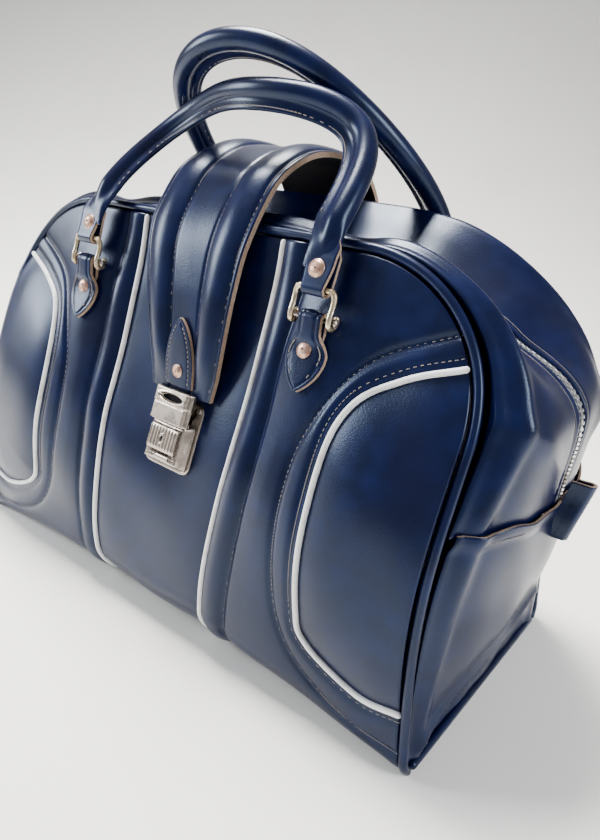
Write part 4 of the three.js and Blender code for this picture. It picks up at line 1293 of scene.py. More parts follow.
# ---- Zip -------------------------------------------------------------------------------------
@dataclass
class Zip:
    """Two rows of metal teeth on pale tape, with a slider and its puller."""

    form: Form
    finishes: Finishes
    seam_height: float = 160 * MM
    pitch: float = 2.9 * MM
    tooth: tuple = (1.35, 4.4, 2.3)
    tape_reach: float = 8.6 * MM
    sink: float = 2.4 * MM
    slider_x: float = -95 * MM
    seat_gap: float = 0.4 * MM

    def along(self, count: int) -> Array:
        """Runs from one end of the zip to the other."""
        start = self.form.run_at(self.seam_height) + 0.8 * MM
        return np.linspace(start, 2 * self.form.half_run - start, count)

    def tape(self, side: int) -> bpy.types.Object:
        """A woven strip that reaches under the leather."""
        run = self.along(300)[:, None]
        y = side * np.linspace(1.5 * MM, self.tape_reach, 8)[None, :]
        ribs = 0.12 * MM * np.sin(run / (0.5 * MM))
        outer = self.form.gusset(run, y, -self.sink + 0.9 * MM + ribs)
        inner = self.form.gusset(run, y, -self.sink + 0.2 * MM)
        return slab(f"zip_ribbon_{SIDE_NAMES[side]}", outer, inner)

    def teeth(self, side: int) -> bpy.types.Object:
        """Metal teeth: each a small block whose tip narrows, clear of the one opposite."""
        length = self.along(2)
        count = int((length[1] - length[0]) / self.pitch)
        shift = 0.25 if side == FRONT else 0.75
        run = length[0] + (np.arange(count) + shift) * self.pitch
        wide, long, tall = np.array(self.tooth) * MM
        block = np.array(
            [(-0.5, 0.0, 0.1), (0.5, 0.0, 0.1), (0.5, 0.0, 0.9), (-0.5, 0.0, 0.9)]
            + [(-0.5, 0.55, 0.0), (0.5, 0.55, 0.0), (0.5, 0.55, 1.0), (-0.5, 0.55, 1.0)]
            + [(-0.34, 1.0, 0.2), (0.34, 1.0, 0.2), (0.34, 1.0, 0.8), (-0.34, 1.0, 0.8)]
        )
        reach = 3.4 * MM
        y = side * (reach - block[:, 1] * long)[None, :]
        place = run[:, None] + (block[:, 0] * wide)[None, :]
        points = self.form.gusset(place, y, -self.sink + 0.4 * MM + (block[:, 2] * tall)[None, :])
        sides = grid_faces(3, 4, wrap=True)
        caps = np.array([[3, 2, 1, 0], [8, 9, 10, 11]])
        starts = np.arange(count) * 12
        faces = (starts[:, None, None] + np.vstack([sides, caps])[None]).reshape(-1, 4)
        piece = make_piece(f"zip_teeth_row_{SIDE_NAMES[side]}", points.reshape(-1, 3), [faces])
        piece.data.polygons.foreach_set("use_smooth", np.zeros(len(faces), bool))
        return piece

    def seat(self) -> Array:
        """The place of the slider's base."""
        top = self.form.gusset(np.array(self.form.half_run), np.array(0.0))
        return np.array([self.slider_x, 0.0, top[2] + self.seat_gap])

    def slider(self) -> bpy.types.Object:
        """A tapered plate with rounded edges and flanges, and a bridge over its middle."""
        corners = [(-7.5, -5), (4, -5), (7.5, -2.6), (7.5, 2.6), (4, 5), (-7.5, 5)]
        outline = rounded_outline(corners, 1.4, 5) * MM
        layers = [(0.5, 0.0), (0.0, 0.35), (0.0, 1.1), (0.4, 1.6), (1.4, 1.9), (3.6, 2.0)]
        points, faces = stacked(outline, np.array(layers) * MM)
        rise = [(-4.6, 1.4), (-4.5, 3.6), (-3.4, 4.8)]
        fall = [(-x, z) for x, z in rise[::-1]]
        path = spline(np.array([*rise, (0, 5.1), *fall]) * MM, 50)
        path = np.stack([path[:, 0], np.zeros(50), path[:, 1]], axis=1)
        turn = circle(1.0, 12) * np.array([1.5, 0.75]) * MM
        first, second = frames(path, np.broadcast_to([0.0, 1.0, 0.0], path.shape))
        rings = path[:, None] + turn[None, :, :1] * first[:, None] + turn[None, :, 1:] * second[:, None]
        more, sides = ringed(rings, len(points))
        return make_piece("zip_slider_body", np.vstack([points, more]) + self.seat(), faces + sides)

    def puller(self) -> bpy.types.Object:
        """A flat tag with an eye round the slider's bridge, rounded at all of its edges."""
        low_side = [(-0.9, -2.7), (3, -3.2), (12, -4), (27, -4), (30, -2.2)]
        high_side = [(x, -y) for x, y in low_side[::-1]]
        tag = rounded_outline(low_side + high_side, 0.9, 5)
        eye = np.array([4.3, 0.0])
        angle = np.arctan2(tag[:, 1], tag[:, 0] - eye[0])
        inner = eye + np.stack([3.4 * np.cos(angle), 1.25 * np.sin(angle)], axis=1)
        half = 0.8
        upper = [(0.0, 0.45), (0.1, 0.72), (0.3, half), (0.7, half), (0.9, 0.72), (1.0, 0.45)]
        section = upper + [(share, -height) for share, height in upper[::-1]]
        layers = [
            np.column_stack([tag + share * (inner - tag), np.full(len(tag), height)])
            for share, height in section
        ]
        points = np.concatenate(layers) * MM
        rows, columns = len(layers), len(tag)
        i, j = np.meshgrid(np.arange(rows), np.arange(columns), indexing="ij")
        down, across = (i + 1) % rows, (j + 1) % columns
        row, below = i * columns, down * columns
        quads = np.stack([row + j, below + j, below + across, row + across], axis=-1)
        place = self.seat() + np.array([0, 0, 3.1 * MM])
        return make_piece("zip_puller_tag", points + place, [quads.reshape(-1, 4)])

    def build(self) -> None:
        """Makes the zip."""
        for side in (FRONT, BACK):
            word = SIDE_NAMES[side]
            dress(self.tape(side), self.finishes.tape, "bag", [f"zip_tape_{word}"])
            dress(self.teeth(side), self.finishes.silver, "bag", [f"zip_teeth_{word}"])
        dress(self.slider(), self.finishes.silver, "zip_runner", ["zip_slider"])
        dress(self.puller(), self.finishes.silver, "zip_pull_tag", ["zip_puller"])


# ---- Handle fittings -------------------------------------------------------------------------
@dataclass
class Fittings:
    """At each handle end: a stitched tab with its rivet, a pin, and a ring with curled eyes."""

    form: Form
    finishes: Finishes
    thread: Thread = Thread(length=2.4 * MM, pitch=3.3 * MM, radius=0.36 * MM)
    tip: float = 214 * MM
    width: float = 30 * MM
    neck: float = 17 * MM
    point: float = 25 * MM
    lift: float = 8.4 * MM
    leather: float = 2.6 * MM
    tab_margin: float = 3.2 * MM
    tab_seam: Ridge = Ridge(-0.5 * MM, 1.0 * MM)
    pin_radius: float = 1.5 * MM
    pin_length: float = 37 * MM
    ring_half: float = 14.5 * MM
    ring_rise: float = 18 * MM
    wire: float = 1.9 * MM
    rivet_radius: float = 5.7 * MM

    def pin_centre(self, side: int, hand: int) -> Array:
        """The middle of a hinge pin."""
        low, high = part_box(f"ring_pin_{corner_name(side, hand)}")
        return 0.5 * (np.array(low) + np.array(high))

    def mirrored(self, points: Array, side: int, hand: int) -> Array:
        """Turns points of the front right corner into those of another corner."""
        return points * np.array([hand, -side, 1.0])

    def tab_route(self) -> Array:
        """The front right tab's outer face in the YZ plane: up, over the pin, and down behind it."""
        centre = self.pin_centre(FRONT, RIGHT)[1:]
        z = self.tip + np.array([0, 5, 11, 17, 23, 28, 32]) * MM
        skin = self.form.skin(FRONT, np.full(len(z), self.form.chape_x), self.form.height - z)
        out = np.array([0, 0, 0, 0, 0.4, 1.6, 3.6]) * MM
        front = skin[:, 1:] - np.stack([self.lift + 3.0 * MM + out, -0.25 * out], axis=1)
        radius = self.pin_radius + 0.4 * MM + self.leather
        turn = np.radians([185, 160, 130, 100, 70, 40, 10, -15])
        round_pin = centre + radius * np.stack([np.cos(turn), np.sin(turn)], axis=1)
        behind = centre + np.array([(3.6, -4), (3.0, -8), (2.4, -14)]) * MM
        return spline(np.vstack([front, round_pin, behind]), 150)

    def tab_half(self, route: Array) -> Array:
        """Half the tab's width: a rounded point, full width, and a neck from below the pin on."""
        length = np.concatenate([[0], np.cumsum(np.linalg.norm(np.diff(route, axis=0), axis=1))])
        ogive = clamp01(length / self.point)
        full = 0.9 * MM + (self.width / 2 - 0.9 * MM) * (1 - (1 - ogive) ** 2.2) ** 0.9
        return full - (self.width - self.neck) / 2 * ease(24 * MM, 38 * MM, length)

    def tab(self, side: int, hand: int) -> bpy.types.Object:
        """The leather tab and its loop."""
        route = self.tab_route()
        half = self.tab_half(route)
        across = np.linspace(-1, 1, 25)
        from_edge = (1 - np.abs(across))[None, :] * half[:, None]
        crown = 0.9 * MM * (1 - np.abs(across) ** 3) + self.tab_seam.at(from_edge - self.tab_margin)
        centre = np.full(len(route), self.form.chape_x)
        outer, inner = ribbon(route, centre, half, self.leather, 25, crown)
        name = f"ring_tab_{corner_name(side, hand)}"
        return slab(name, self.mirrored(outer, side, hand), self.mirrored(inner, side, hand), Rim.ALL)

    def tab_stitches(self) -> list[tuple[Array, Array]]:
        """Stitch rows of all four tabs, a little inside their edges."""
        route = self.tab_route()
        half = self.tab_half(route)
        keep = slice(9, 62)
        along = tangents(route)
        normal = np.stack([np.zeros(len(route)), -along[:, 1], along[:, 0]], axis=1)
        rows = []
        for side, hand in CORNERS:
            for edge in (-1, 1):
                x = self.form.chape_x + edge * (half - self.tab_margin)
                path = np.column_stack([x, route]) + normal * 0.75 * MM
                placed = [self.mirrored(points[keep], side, hand) for points in (path, normal)]
                rows.append(tuple(placed))
        return rows

    def rivet(self, name: str, seat: Array, normal: Array, radius: float) -> bpy.types.Object:
        """A domed rivet head with a thin flat rim and a worn, slightly flattened crown."""
        shape = [(0.96, -0.10), (1.0, 0.0), (1.0, 0.07), (0.95, 0.12), (0.86, 0.15), (0.78, 0.22)]
        shape += [(0.66, 0.30), (0.5, 0.36), (0.3, 0.395), (0.1, 0.405)]
        return turned(name, np.array(shape) * radius, seat, normal, 32)

    def chape_rivet(self, side: int, hand: int) -> bpy.types.Object:
        """The rivet through a tab."""
        place = np.array(hand * self.form.chape_x), np.array(self.form.height - self.tip - 21 * MM)
        normal = self.form.skin_normal(side, *place)
        seat = self.form.above_skin(side, *place, np.array(self.lift + 3.7 * MM))
        name = f"tab_rivet_{corner_name(side, hand)}"
        return self.rivet(name, seat, normal, self.rivet_radius)

    def pin(self, side: int, hand: int) -> bpy.types.Object:
        """A hinge pin with two low domed heads."""
        half = self.pin_length / 2 / MM
        dome = [(0.3, 0.0), (1.6, 0.1), (2.5, 0.6), (2.7, 1.2), (2.5, 1.6), (1.5, 1.7)]
        head = [(radius, height - half) for radius, height in dome]
        profile = head + [(r, -h) for r, h in head[::-1]]
        name = f"hinge_pin_{corner_name(side, hand)}"
        return turned(name, np.array(profile) * MM, self.pin_centre(side, hand), np.array([1.0, 0, 0]), 20)

    def ring(self, side: int, hand: int) -> bpy.types.Object:
        """One bent wire: a curl round the pin, a leg, the bar, a leg and the other curl."""
        curl = self.pin_radius + 0.25 * MM + self.wire
        turn = np.radians(np.arange(-215, 1, 18))
        legs = []
        for end in (-1, 1):
            spread = end * (self.ring_half + 0.9 * MM * (1 - np.linspace(0, 1, len(turn))) ** 2)
            loop = np.stack([spread, curl * np.cos(turn), curl * np.sin(turn)], axis=1)
            out, w, rise = curl / MM, self.ring_half / MM, self.ring_rise / MM
            up = [(w, out * 0.85, 3.2), (w, out * 0.35, 8), (w, 0.2, 12.4)]
            bend = [(w - 0.4, 0, rise - 2.6), (w - 1.7, 0, rise - 0.7), (w - 4, 0, rise)]
            leg = np.array(up + bend) * np.array([end, 1, 1]) * MM
            legs.append(np.vstack([loop, leg]))
        path = spline(np.vstack([legs[0], legs[1][::-1]]), 190)
        path = path * np.array([1.0, side, 1.0]) + self.pin_centre(side, hand)
        name = f"handle_ring_{corner_name(side, hand)}"
        return loft(name, round_ended(path, self.wire, 12, np.array([1.0, 0.3, 0.2])))

    def build(self) -> None:
        """Makes the fittings of all four corners."""
        looks = self.finishes
        for side, hand in CORNERS:
            end = corner_name(side, hand)
            dress(self.tab(side, hand), looks.leather, "bag", [f"chape_{end}"])
            dress(self.chape_rivet(side, hand), looks.copper, "bag", [f"rivet_chape_{end}"])
            dress(self.pin(side, hand), looks.nickel, "bag", [f"ring_pin_{end}"])
            dress(self.ring(side, hand), looks.brass, f"{end}_ring", [f"ring_{end}"])
        dress(self.thread.sew("ring_tab_stitches", self.tab_stitches()), looks.thread, "bag")


# ---- Handles ---------------------------------------------------------------------------------
@dataclass
class Handle:
    """A rolled handle with a sewn flange, whose flat ends fold round the rings."""

    form: Form
    finishes: Finishes
    fittings: Fittings
    side: int
    rise: float
    half_span: float
    roundness: float
    apex_shift: float
    recline: tuple[float, float, float]
    thread: Thread = Thread(length=2.6 * MM, pitch=3.6 * MM, radius=0.36 * MM)
    radius: float = 7.6 * MM
    flange: float = 7.4 * MM
    bend: float = 1.78
    low: float = 20 * MM
    tab_start: float = 11 * MM
    tab_half: float = 10.5 * MM
    rivet_radius: float = 5.8 * MM

    @property
    def name(self) -> str:
        """The handle's word for its side."""
        return SIDE_NAMES[self.side]

    def bar(self, hand: int) -> Array:
        """The middle of a ring's bar."""
        return self.fittings.pin_centre(self.side, hand) + np.array([0, 0, self.fittings.ring_rise])

    def place(self, u: Array, up: Array) -> Array:
        """A place on the leaning sheet that the handle lies in.

        x is half_span * u, shifted with the square of the height; the sheet leans back with
        the height's power 1.78, by an amount that is a parabola of u.
        """
        left, middle, right = self.recline
        lean = middle + (right - left) / 2 * u + ((right + left) / 2 - middle) * u * u
        share = up / self.rise
        bar = self.bar(RIGHT)
        x = self.half_span * u + self.apex_shift * share**2
        return np.stack([x, bar[1] - self.side * lean * share**self.bend, bar[2] + up], axis=-1)

    def path(self, count: int = 300) -> Array:
        """The handle's middle line, from the left tab over the arch to the right tab."""
        turn = np.linspace(np.pi, 0, 241)
        squared = lambda value: np.sign(value) * np.abs(value) ** (2 / self.roundness)
        arch = self.place(squared(np.cos(turn)), self.low + (self.rise - self.low) * squared(np.sin(turn)))
        leg = np.linspace(self.tab_start, self.low, 5)[:-1]
        left = self.place(np.full(4, -1.0), leg)
        right = self.place(np.full(4, 1.0), leg[::-1])
        rough = even(np.vstack([left, arch, right]), 61)
        return spline(rough, count)

    def heart(self) -> Array:
        """A point inside the arch that the flange turns towards."""
        return self.place(np.array(0.05), np.array(self.low + 0.3 * (self.rise - self.low)))

    def sections(self, path: Array) -> Array:
        """The outline at each path point: a roll with a flange, pressed flat at both ends.

        The roll is a circle whose inner side runs out into a thin flange. The flat end is the
        curve (x/a)^4 + (y/b)^4 = 1, and the two are blended over the last stretch.
        """
        turn = np.radians(np.linspace(17, 343, 30))
        r = self.radius
        circle_part = np.stack([r * np.cos(turn), r * np.sin(turn)], axis=1)
        upper = [(0.35, 1.9), (0.7, 1.6), (0.93, 1.5), (1.0, 0.8)]
        out = np.array([(reach, -half) for reach, half in upper] + upper[::-1])
        flange = np.stack([r + out[:, 0] * self.flange, out[:, 1] * MM], axis=1)
        tube_part = np.vstack([circle_part, flange])
        angle = np.arctan2(tube_part[:, 1], tube_part[:, 0] - 0.2 * r)
        length = np.concatenate([[0], np.cumsum(np.linalg.norm(np.diff(path, axis=0), axis=1))])
        near = np.minimum(length, length[-1] - length)
        flat = 1 - ease(10 * MM, 34 * MM, near)
        thin = (1.4 * MM + 1.5 * MM * ease(0, 16 * MM, near))[:, None]
        spread = (np.abs(np.cos(angle)) / self.tab_half) ** 4 + (np.abs(np.sin(angle)) / thin) ** 4
        press = spread**-0.25
        tab_part = np.stack([press * np.cos(angle), press * np.sin(angle)], axis=-1)
        share = flat[:, None, None]
        return tube_part[None] * (1 - share) + tab_part * share

    def roll(self) -> bpy.types.Object:
        """The roll with its flange."""
        path = self.path()
        return tube(f"{self.name}_handle_roll", path, self.sections(path), self.heart() - path)

    def stitches(self) -> bpy.types.Object:
        """Stitches on both faces of the flange."""
        path = self.path()[26:-26]
        first, second = frames(path, self.heart() - path)
        rows = []
        for face in (-1, 1):
            line = path + first * (self.radius + 0.72 * self.flange) + second * face * 1.65 * MM
            rows.append((line, second * face))
        return self.thread.sew(f"{self.name}_handle_stitches", rows)

    def axes(self, hand: int) -> tuple[Array, Array]:
        """The flat end's upward and outward directions, in the YZ plane."""
        u = np.array(float(hand))
        up = self.place(u, np.array(24 * MM)) - self.place(u, np.array(0.0))
        rise = unit(up * np.array([0, 1.0, 1.0]))
        tilt = math.atan2(-rise[1], rise[2])
        return rise, np.array([0, self.side * math.cos(tilt), self.side * math.sin(tilt)])

    def fold(self, hand: int) -> bpy.types.Object:
        """The end's leather: down the face, round the bar, and up behind with a cut end."""
        rise, face = self.axes(hand)
        front = [(31, 0.2), (26, 1.4), (20, 2.9), (13, 3.0), (6, 3.7)]
        turn = np.radians([10, -25, -60, -90, -120, -155, -190])
        round_bar = [(4.6 * math.sin(t), 4.6 * math.cos(t)) for t in turn]
        back = [(6, -3.9), (12, -3.4), (18, -3.3), (24, -3.6)]
        local = spline(np.array(front + round_bar + back) * MM, 120)
        length = np.linspace(0, 1, 120)
        half = (10.6 - 2.6 * np.exp(-(((length - 0.5) / 0.2) ** 2))) * MM
        half = half * (0.72 + 0.28 * ease(0, 0.1, length)) * (0.8 + 0.2 * ease(0, 0.07, 1 - length))
        along = tangents(local)
        normal = np.stack([-along[:, 1], along[:, 0]], axis=1)
        outwards = np.sign(normal[0, 1])
        across = np.linspace(-1, 1, 15)
        grids = []
        for depth in (0.0, -2.1 * MM):
            middle = local + normal * outwards * depth
            yz = self.bar(hand) + middle[:, :1] * rise + middle[:, 1:] * face
            grid = np.repeat(yz[:, None, :], 15, axis=1)
            grid[..., 0] = self.bar(hand)[0] + half[:, None] * across
            grids.append(grid)
        return slab(f"{self.name}_handle_fold_{HAND_NAMES[hand]}", grids[0], grids[1], Rim.ALL)

    def build(self) -> None:
        """Makes the handle with its folded ends and rivets."""
        looks, body = self.finishes, f"{self.name}_handle"
        roll = dress(self.roll(), looks.rolled, body, [f"handle_{self.name}"])
        dress(self.stitches(), looks.thread, body)
        for hand in (LEFT, RIGHT):
            word = HAND_NAMES[hand]
            dress(self.fold(hand), looks.rolled, body)
            rise, face = self.axes(hand)
            seat = self.bar(hand) + rise * 11.4 * MM + face * 3.1 * MM
            seat[0] = hand * 0.5 * (self.half_span + self.form.chape_x)
            rivet = self.fittings.rivet(f"{self.name}_handle_rivet_{word}", seat, face, self.rivet_radius)
            dress(rivet, looks.copper, body, [f"rivet_handle_{self.name}_{word}"])


# ---- Strap -----------------------------------------------------------------------------------
@dataclass
class Strap:
    """A wide padded strap from the back panel over the top to the lock, with a sewn tab."""

    form: Form
    finishes: Finishes
    fittings: Fittings
    thread: Thread = Thread()
    rows_along: int = 330
    columns: int = 81
    thickness: float = 4.6 * MM
    foot_half: float = 28 * MM
    top_half: float = 48 * MM
    lock_height: float = 151 * MM
    full_width_height: float = 300 * MM
    drift: float = 8 * MM
    drift_length: float = 100 * MM
    seam: Ridge = Ridge(-0.9 * MM, 1.3 * MM)
    edge_fall: Ridge = Ridge(-0.8 * MM, 1.2 * MM)
    ridge: float = 3.6 * MM
    inner_seam: float = 0.36
    outer_seam: float = 0.92
    tab_foot: float = 189 * MM
    tab_height: float = 48 * MM
    tab_half: float = 13.5 * MM
    tab_leather: float = 2.4 * MM
    tab_margin: float = 3 * MM
    route: tuple = (
        (-95.5, 183), (-94, 203), (-91, 235), (-87, 262), (-80, 290), (-66, 316), (-48, 337),
        (-18, 352), (14, 355), (48, 349), (74, 327), (86, 296), (87, 262), (93, 225),
    )

    def line(self, count: int | None = None) -> Array:
        """The strap's outer face in the YZ plane, from the lock to the back."""
        return spline(np.array(self.route) * MM, count or self.rows_along)

    def half(self, z: Array) -> Array:
        """Half the width at a height."""
        low = self.lock_height + 28 * MM
        share = clamp01((z - low) / (self.full_width_height - low))
        return self.foot_half + (self.top_half - self.foot_half) * share**0.8

    def centre(self, line: Array) -> Array:
        """The middle's x: the front end drifts to the lock."""
        share = clamp01((self.full_width_height - line[:, 1]) / self.drift_length)
        return self.drift * share * (line[:, 0] < 0)

    def relief(self, v: Array, z: Array) -> Array:
        """Across the strap: flat in the middle, a padded ridge each side, and sewn grooves."""
        share = clamp01((np.abs(v) - self.inner_seam) / (self.outer_seam - self.inner_seam))
        strength = ease(182 * MM, 215 * MM, z)
        height = self.ridge * np.sin(np.pi * share) ** 0.8 * strength
        half = self.half(z)
        for seam in (self.inner_seam, self.outer_seam):
            height = height + self.seam.at((np.abs(v) - seam) * half)
        wave = 0.35 * MM * np.sin(z / (13 * MM) + 3 * v) * (1 - np.abs(v))
        return height + wave + self.edge_fall.at((1 - np.abs(v)) * half)

    def band(self) -> bpy.types.Object:
        """The strap itself."""
        line = self.line()
        v = np.linspace(-1, 1, self.columns)[None, :]
        relief = self.relief(v, line[:, 1:])
        half = self.half(line[:, 1])
        outer, inner = ribbon(line, self.centre(line), half, self.thickness, self.columns, relief)
        return slab("closing_strap", outer, inner, Rim.ALL)

    def rows(self) -> list[tuple[Array, Array]]:
        """Four rows of stitches along the strap."""
        line = self.line()
        along = tangents(line)
        normal = np.stack([np.zeros(len(line)), -along[:, 1], along[:, 0]], axis=1)
        found = []
        for v in (-self.outer_seam, -self.inner_seam, self.inner_seam, self.outer_seam):
            x = self.centre(line) + v * self.half(line[:, 1])
            lift = self.relief(np.array(v), line[:, 1]) + 0.2 * MM
            found.append((np.column_stack([x, line]) + normal * lift[:, None], normal))
        return found

    def tab_outline(self) -> tuple[Array, Array]:
        """The middle line of the tab in the YZ plane, and half its width along it."""
        line, climb = self.line(1200), np.linspace(0, 1, 70)
        z = self.tab_foot + climb * self.tab_height
        front = line[line[:, 0] < -0.06]
        y = np.interp(z, front[:, 1], front[:, 0])
        half = self.tab_half * (1 - climb**3.2) ** 0.8 + 0.5 * MM
        return np.stack([y - 0.5 * MM - self.tab_leather, z], axis=1), half

    def tab(self) -> bpy.types.Object:
        """A pointed tab sewn over the strap's end."""
        path, half = self.tab_outline()
        v = np.linspace(-1, 1, 27)[None, :]
        from_edge = (1 - np.abs(v)) * half[:, None]
        crown = 0.8 * MM * (1 - np.abs(v) ** 3) - 0.5 * MM * hump(from_edge - self.tab_margin, 1 * MM)
        outer, inner = ribbon(path, self.centre(path), half, self.tab_leather, v.size, crown)
        return slab("strap_end_tab", outer, inner, Rim.ALL)

    def tab_rows(self) -> list[tuple[Array, Array]]:
        """The two rows of stitches along the tab's edges."""
        path, half = self.tab_outline()
        rows = []
        for edge in (-1, 1):
            x = self.centre(path) + edge * (half - self.tab_margin)
            seam = np.column_stack([x, path[:, 0] - 0.75 * MM, path[:, 1]])[3:62]
            rows.append((seam, np.broadcast_to([0.0, -1.0, 0.0], seam.shape)))
        return rows

    def build(self) -> None:
        """Makes the strap, its stitching, its tab and its rivet."""
        looks = self.finishes
        band, stitches = self.band(), self.thread.sew("closing_strap_stitches", self.rows())
        for piece, material in ((band, looks.leather), (stitches, looks.thread)):
            piece.data.materials.append(material)
            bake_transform(piece)
        faces = (self.rows_along - 1) * (self.columns - 1)
        # The strap's inner face is a lining coloured near black as painted shade under the arch.
        line(band, looks.lining_and_shade, slice(faces, 2 * faces))
        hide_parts("strap_arch", "strap_flap")
        dress(self.tab(), looks.leather, "closing_flap", ["strap_tab"])
        tab_thread = Thread(length=2.2 * MM, pitch=3.1 * MM, radius=0.34 * MM)
        tab_stitches = tab_thread.sew("strap_tab_stitches", self.tab_rows())
        dress(tab_stitches, looks.thread, "closing_flap")
        low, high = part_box("rivet_strap_tab")
        seat = np.array([(low.x + high.x) / 2, high.y - 0.1 * MM, (low.z + high.z) / 2])
        rivet = self.fittings.rivet("strap_tab_rivet", seat, np.array([0, -1.0, 0.0]), 4.9 * MM)
        dress(rivet, looks.copper, "closing_flap", ["rivet_strap_tab"])


# ---- Lock ------------------------------------------------------------------------------------
@dataclass
class Lock:
    """The metal lock: base plate, sloped case, fluted slide with a keyhole, and the hasp."""

    form: Form
    finishes: Finishes
    height: float = 151 * MM
    x: float = 8 * MM
    stand_off: float = 2.6 * MM
    slide_out: float = 9.9 * MM
    slide_up: float = -4.5 * MM
    collar_out: float = 12.5 * MM
    hasp_out: float = 8.4 * MM
    hasp_up: float = 24.5 * MM

    def put(self, points: Array, out: float, up: float) -> Array:
        """Places points (right, up, out) on the lock's face.

        Args:
            points: In millimetres times MM, from the plate's middle.
            out: How far from the skin their zero lies.
            up: How far above the lock's middle their zero lies.

        Returns:
            The points in the bag's frame.
        """
        drop = np.array(self.form.height - self.height)
        normal = self.form.skin_normal(FRONT, np.array(self.x), drop)
        tilt = math.atan2(-normal[2], -normal[1])
        seat = self.form.skin(FRONT, np.array(self.x), drop) + normal * self.stand_off
        face = np.array([0, -math.cos(tilt), -math.sin(tilt)])
        climb = np.array([0, -math.sin(tilt), math.cos(tilt)])
        right = np.array([1.0, 0, 0])
        x, z, depth = points[..., :1], points[..., 1:2] + up, points[..., 2:] + out
        return seat + x * right + z * climb + depth * face

    def box_outline(self, width: float, length: float, corner: float) -> Array:
        """A rectangle with rounded corners, in metres."""
        w, l = width / 2, length / 2
        return rounded_outline([(-w, -l), (w, -l), (w, l), (-w, l)], corner, 7) * MM

    def plate(self) -> bpy.types.Object:
        """The base plate: a thin sheet with a raised rounded rim at its foot and sides."""
        outline = self.box_outline(46, 52, 7)
        layers = [(0.3, 0), (0, 0.3), (0, 1.2), (0.35, 1.7), (1.1, 1.9), (1.9, 1.75), (2.6, 1.45), (9, 1.45)]
        points, faces = stacked(outline, np.array(layers) * MM)
        return make_piece("lock_base_plate", self.put(points, 0.0, 0.0), faces)

    def case(self) -> bpy.types.Object:
        """The case: its sides slope in from a wide foot to a flat face with rounded edges."""
        outline = self.box_outline(39, 35, 5)
        sides = [(0, 0.1), (0.25, 0.9), (1.6, 3.4), (2.9, 6.2)]
        layers = sides + [(3.3, 7.3), (3.9, 7.9), (4.8, 8.1), (12, 8.1)]
        points, faces = stacked(outline, np.array(layers) * MM)
        return make_piece("lock_case_shell", self.put(points, 1.4 * MM, -7 * MM), faces)

    def rounding(self, edge: Array, radius: float) -> Array:
        """How far a face falls within a rounded edge, by the distance from that edge."""
        return radius * (1 - np.sqrt(clamp01(1 - (1 - clamp01(edge / radius)) ** 2)))

    def slide(self) -> bpy.types.Object:
        """The slide: a block whose face has nine upright flutes that fade at both ends.

        Its height is the flutes' |sin| of x, less a fall over the last part of each end.
        """
        half_x, half_z, flutes = 14, 9.5, 9
        x, z = np.meshgrid(np.linspace(-half_x, half_x, 145), np.linspace(-half_z, half_z, 40))
        flute = np.abs(np.sin(np.pi * x * flutes / (2 * half_x))) ** 0.7
        edge = np.minimum(half_x - np.abs(x), half_z - np.abs(z))
        ends = ease(0.8, 3.2, half_z - np.abs(z))
        face = 2.2 + 0.75 * flute * ends - self.rounding(edge, 1.2)
        outer = self.put(np.stack([x, z, face], -1) * MM, self.slide_out, self.slide_up)
        inner = self.put(np.stack([x, z, np.zeros_like(x)], -1) * MM, self.slide_out, self.slide_up)
        return slab("lock_fluted_slide", outer, inner)

    def keyhole(self) -> list[tuple[bpy.types.Object, bpy.types.Material]]:
        """The keyhole's raised oval collar, and the slot in it: a near-black piece of painted shade."""
        turn = np.linspace(0, 2 * np.pi, 40, endpoint=False)
        outline = np.stack([2.9 * np.cos(turn), 4.3 * np.sin(turn)], axis=1) * MM
        layers = [(0.0, -0.8), (0.0, 0.5), (0.3, 0.95), (0.8, 1.1), (1.1, 0.9), (1.3, 0.3), (2.2, 0.3)]
        points, faces = stacked(outline, np.array(layers) * MM)
        collar = make_piece("keyhole_collar", self.put(points, self.collar_out, self.slide_up), faces)
        # The slot is a near-black disc: painted shade in the keyhole's opening.
        slot = np.stack([0.75 * np.cos(turn), 2.1 * np.sin(turn)], axis=1) * MM
        slot[:, 0] = slot[:, 0] + 0.55 * MM * np.cos(turn) * clamp01(np.sin(turn)) * 1.2
        points, faces = stacked(slot, np.array([(0, -0.3), (0, 0.36), (0.1, 0.4)]) * MM)
        dark = make_piece("keyhole_slot", self.put(points, self.collar_out, self.slide_up), faces)
        return [(collar, self.finishes.nickel), (dark, self.finishes.lining_and_shade)]

    def hasp(self) -> bpy.types.Object:
        """The hasp on the strap's end: a plate with a long oval hollow and a flange each side.

        Its face falls within the oval (x/11.5)^2 + ((z - 1.2)/3)^2 < 1, steps down to a lower
        band that reaches over the case, and has round edges. Lengths here are in millimetres.
        """
        low, high, half_x = -17.0, 7.5, 19
        x, z = np.meshgrid(np.linspace(-half_x, half_x, 96), np.linspace(low, high, 72))
        oval = np.sqrt((x / 11.5) ** 2 + ((z - 1.2) / 3.0) ** 2)
        hollow = 1.9 * (1 - ease(0.82, 1.1, oval))
        rim = 0.35 * hump(oval - 1.18, 0.12)
        edge = np.minimum(half_x - np.abs(x), np.minimum(high - z, z - low))
        side = 2.2 * ease(14.6, 16.2, np.abs(x))
        step = 0.7 * ease(-3.4, -4.6, z) + 0.5 * hump(z + 4.0, 0.5)
        face = 6.0 - hollow + rim - self.rounding(edge, 1.4) - side - step
        under = 0.2 + 1.3 * ease(-4.0, -6.0, z)
        outer = self.put(np.stack([x, z, face], -1) * MM, self.hasp_out, self.hasp_up)
        inner = self.put(np.stack([x, z, under], -1) * MM, self.hasp_out, self.hasp_up)
        return slab("strap_hasp", outer, inner)

    def hasp_recess(self) -> bpy.types.Object:
        """The bottom of the hasp's hollow: a near-black piece of painted shade."""
        turn = np.linspace(0, 2 * np.pi, 48, endpoint=False)
        outline = np.stack([9.6 * np.cos(turn), 2.3 * np.sin(turn)], axis=1) * MM
        points, faces = stacked(outline, np.array([(0, -0.5), (0, 0.15), (0.2, 0.25)]) * MM)
        return make_piece("strap_hasp_recess", self.put(points, 12.5 * MM, 25.7 * MM), faces)

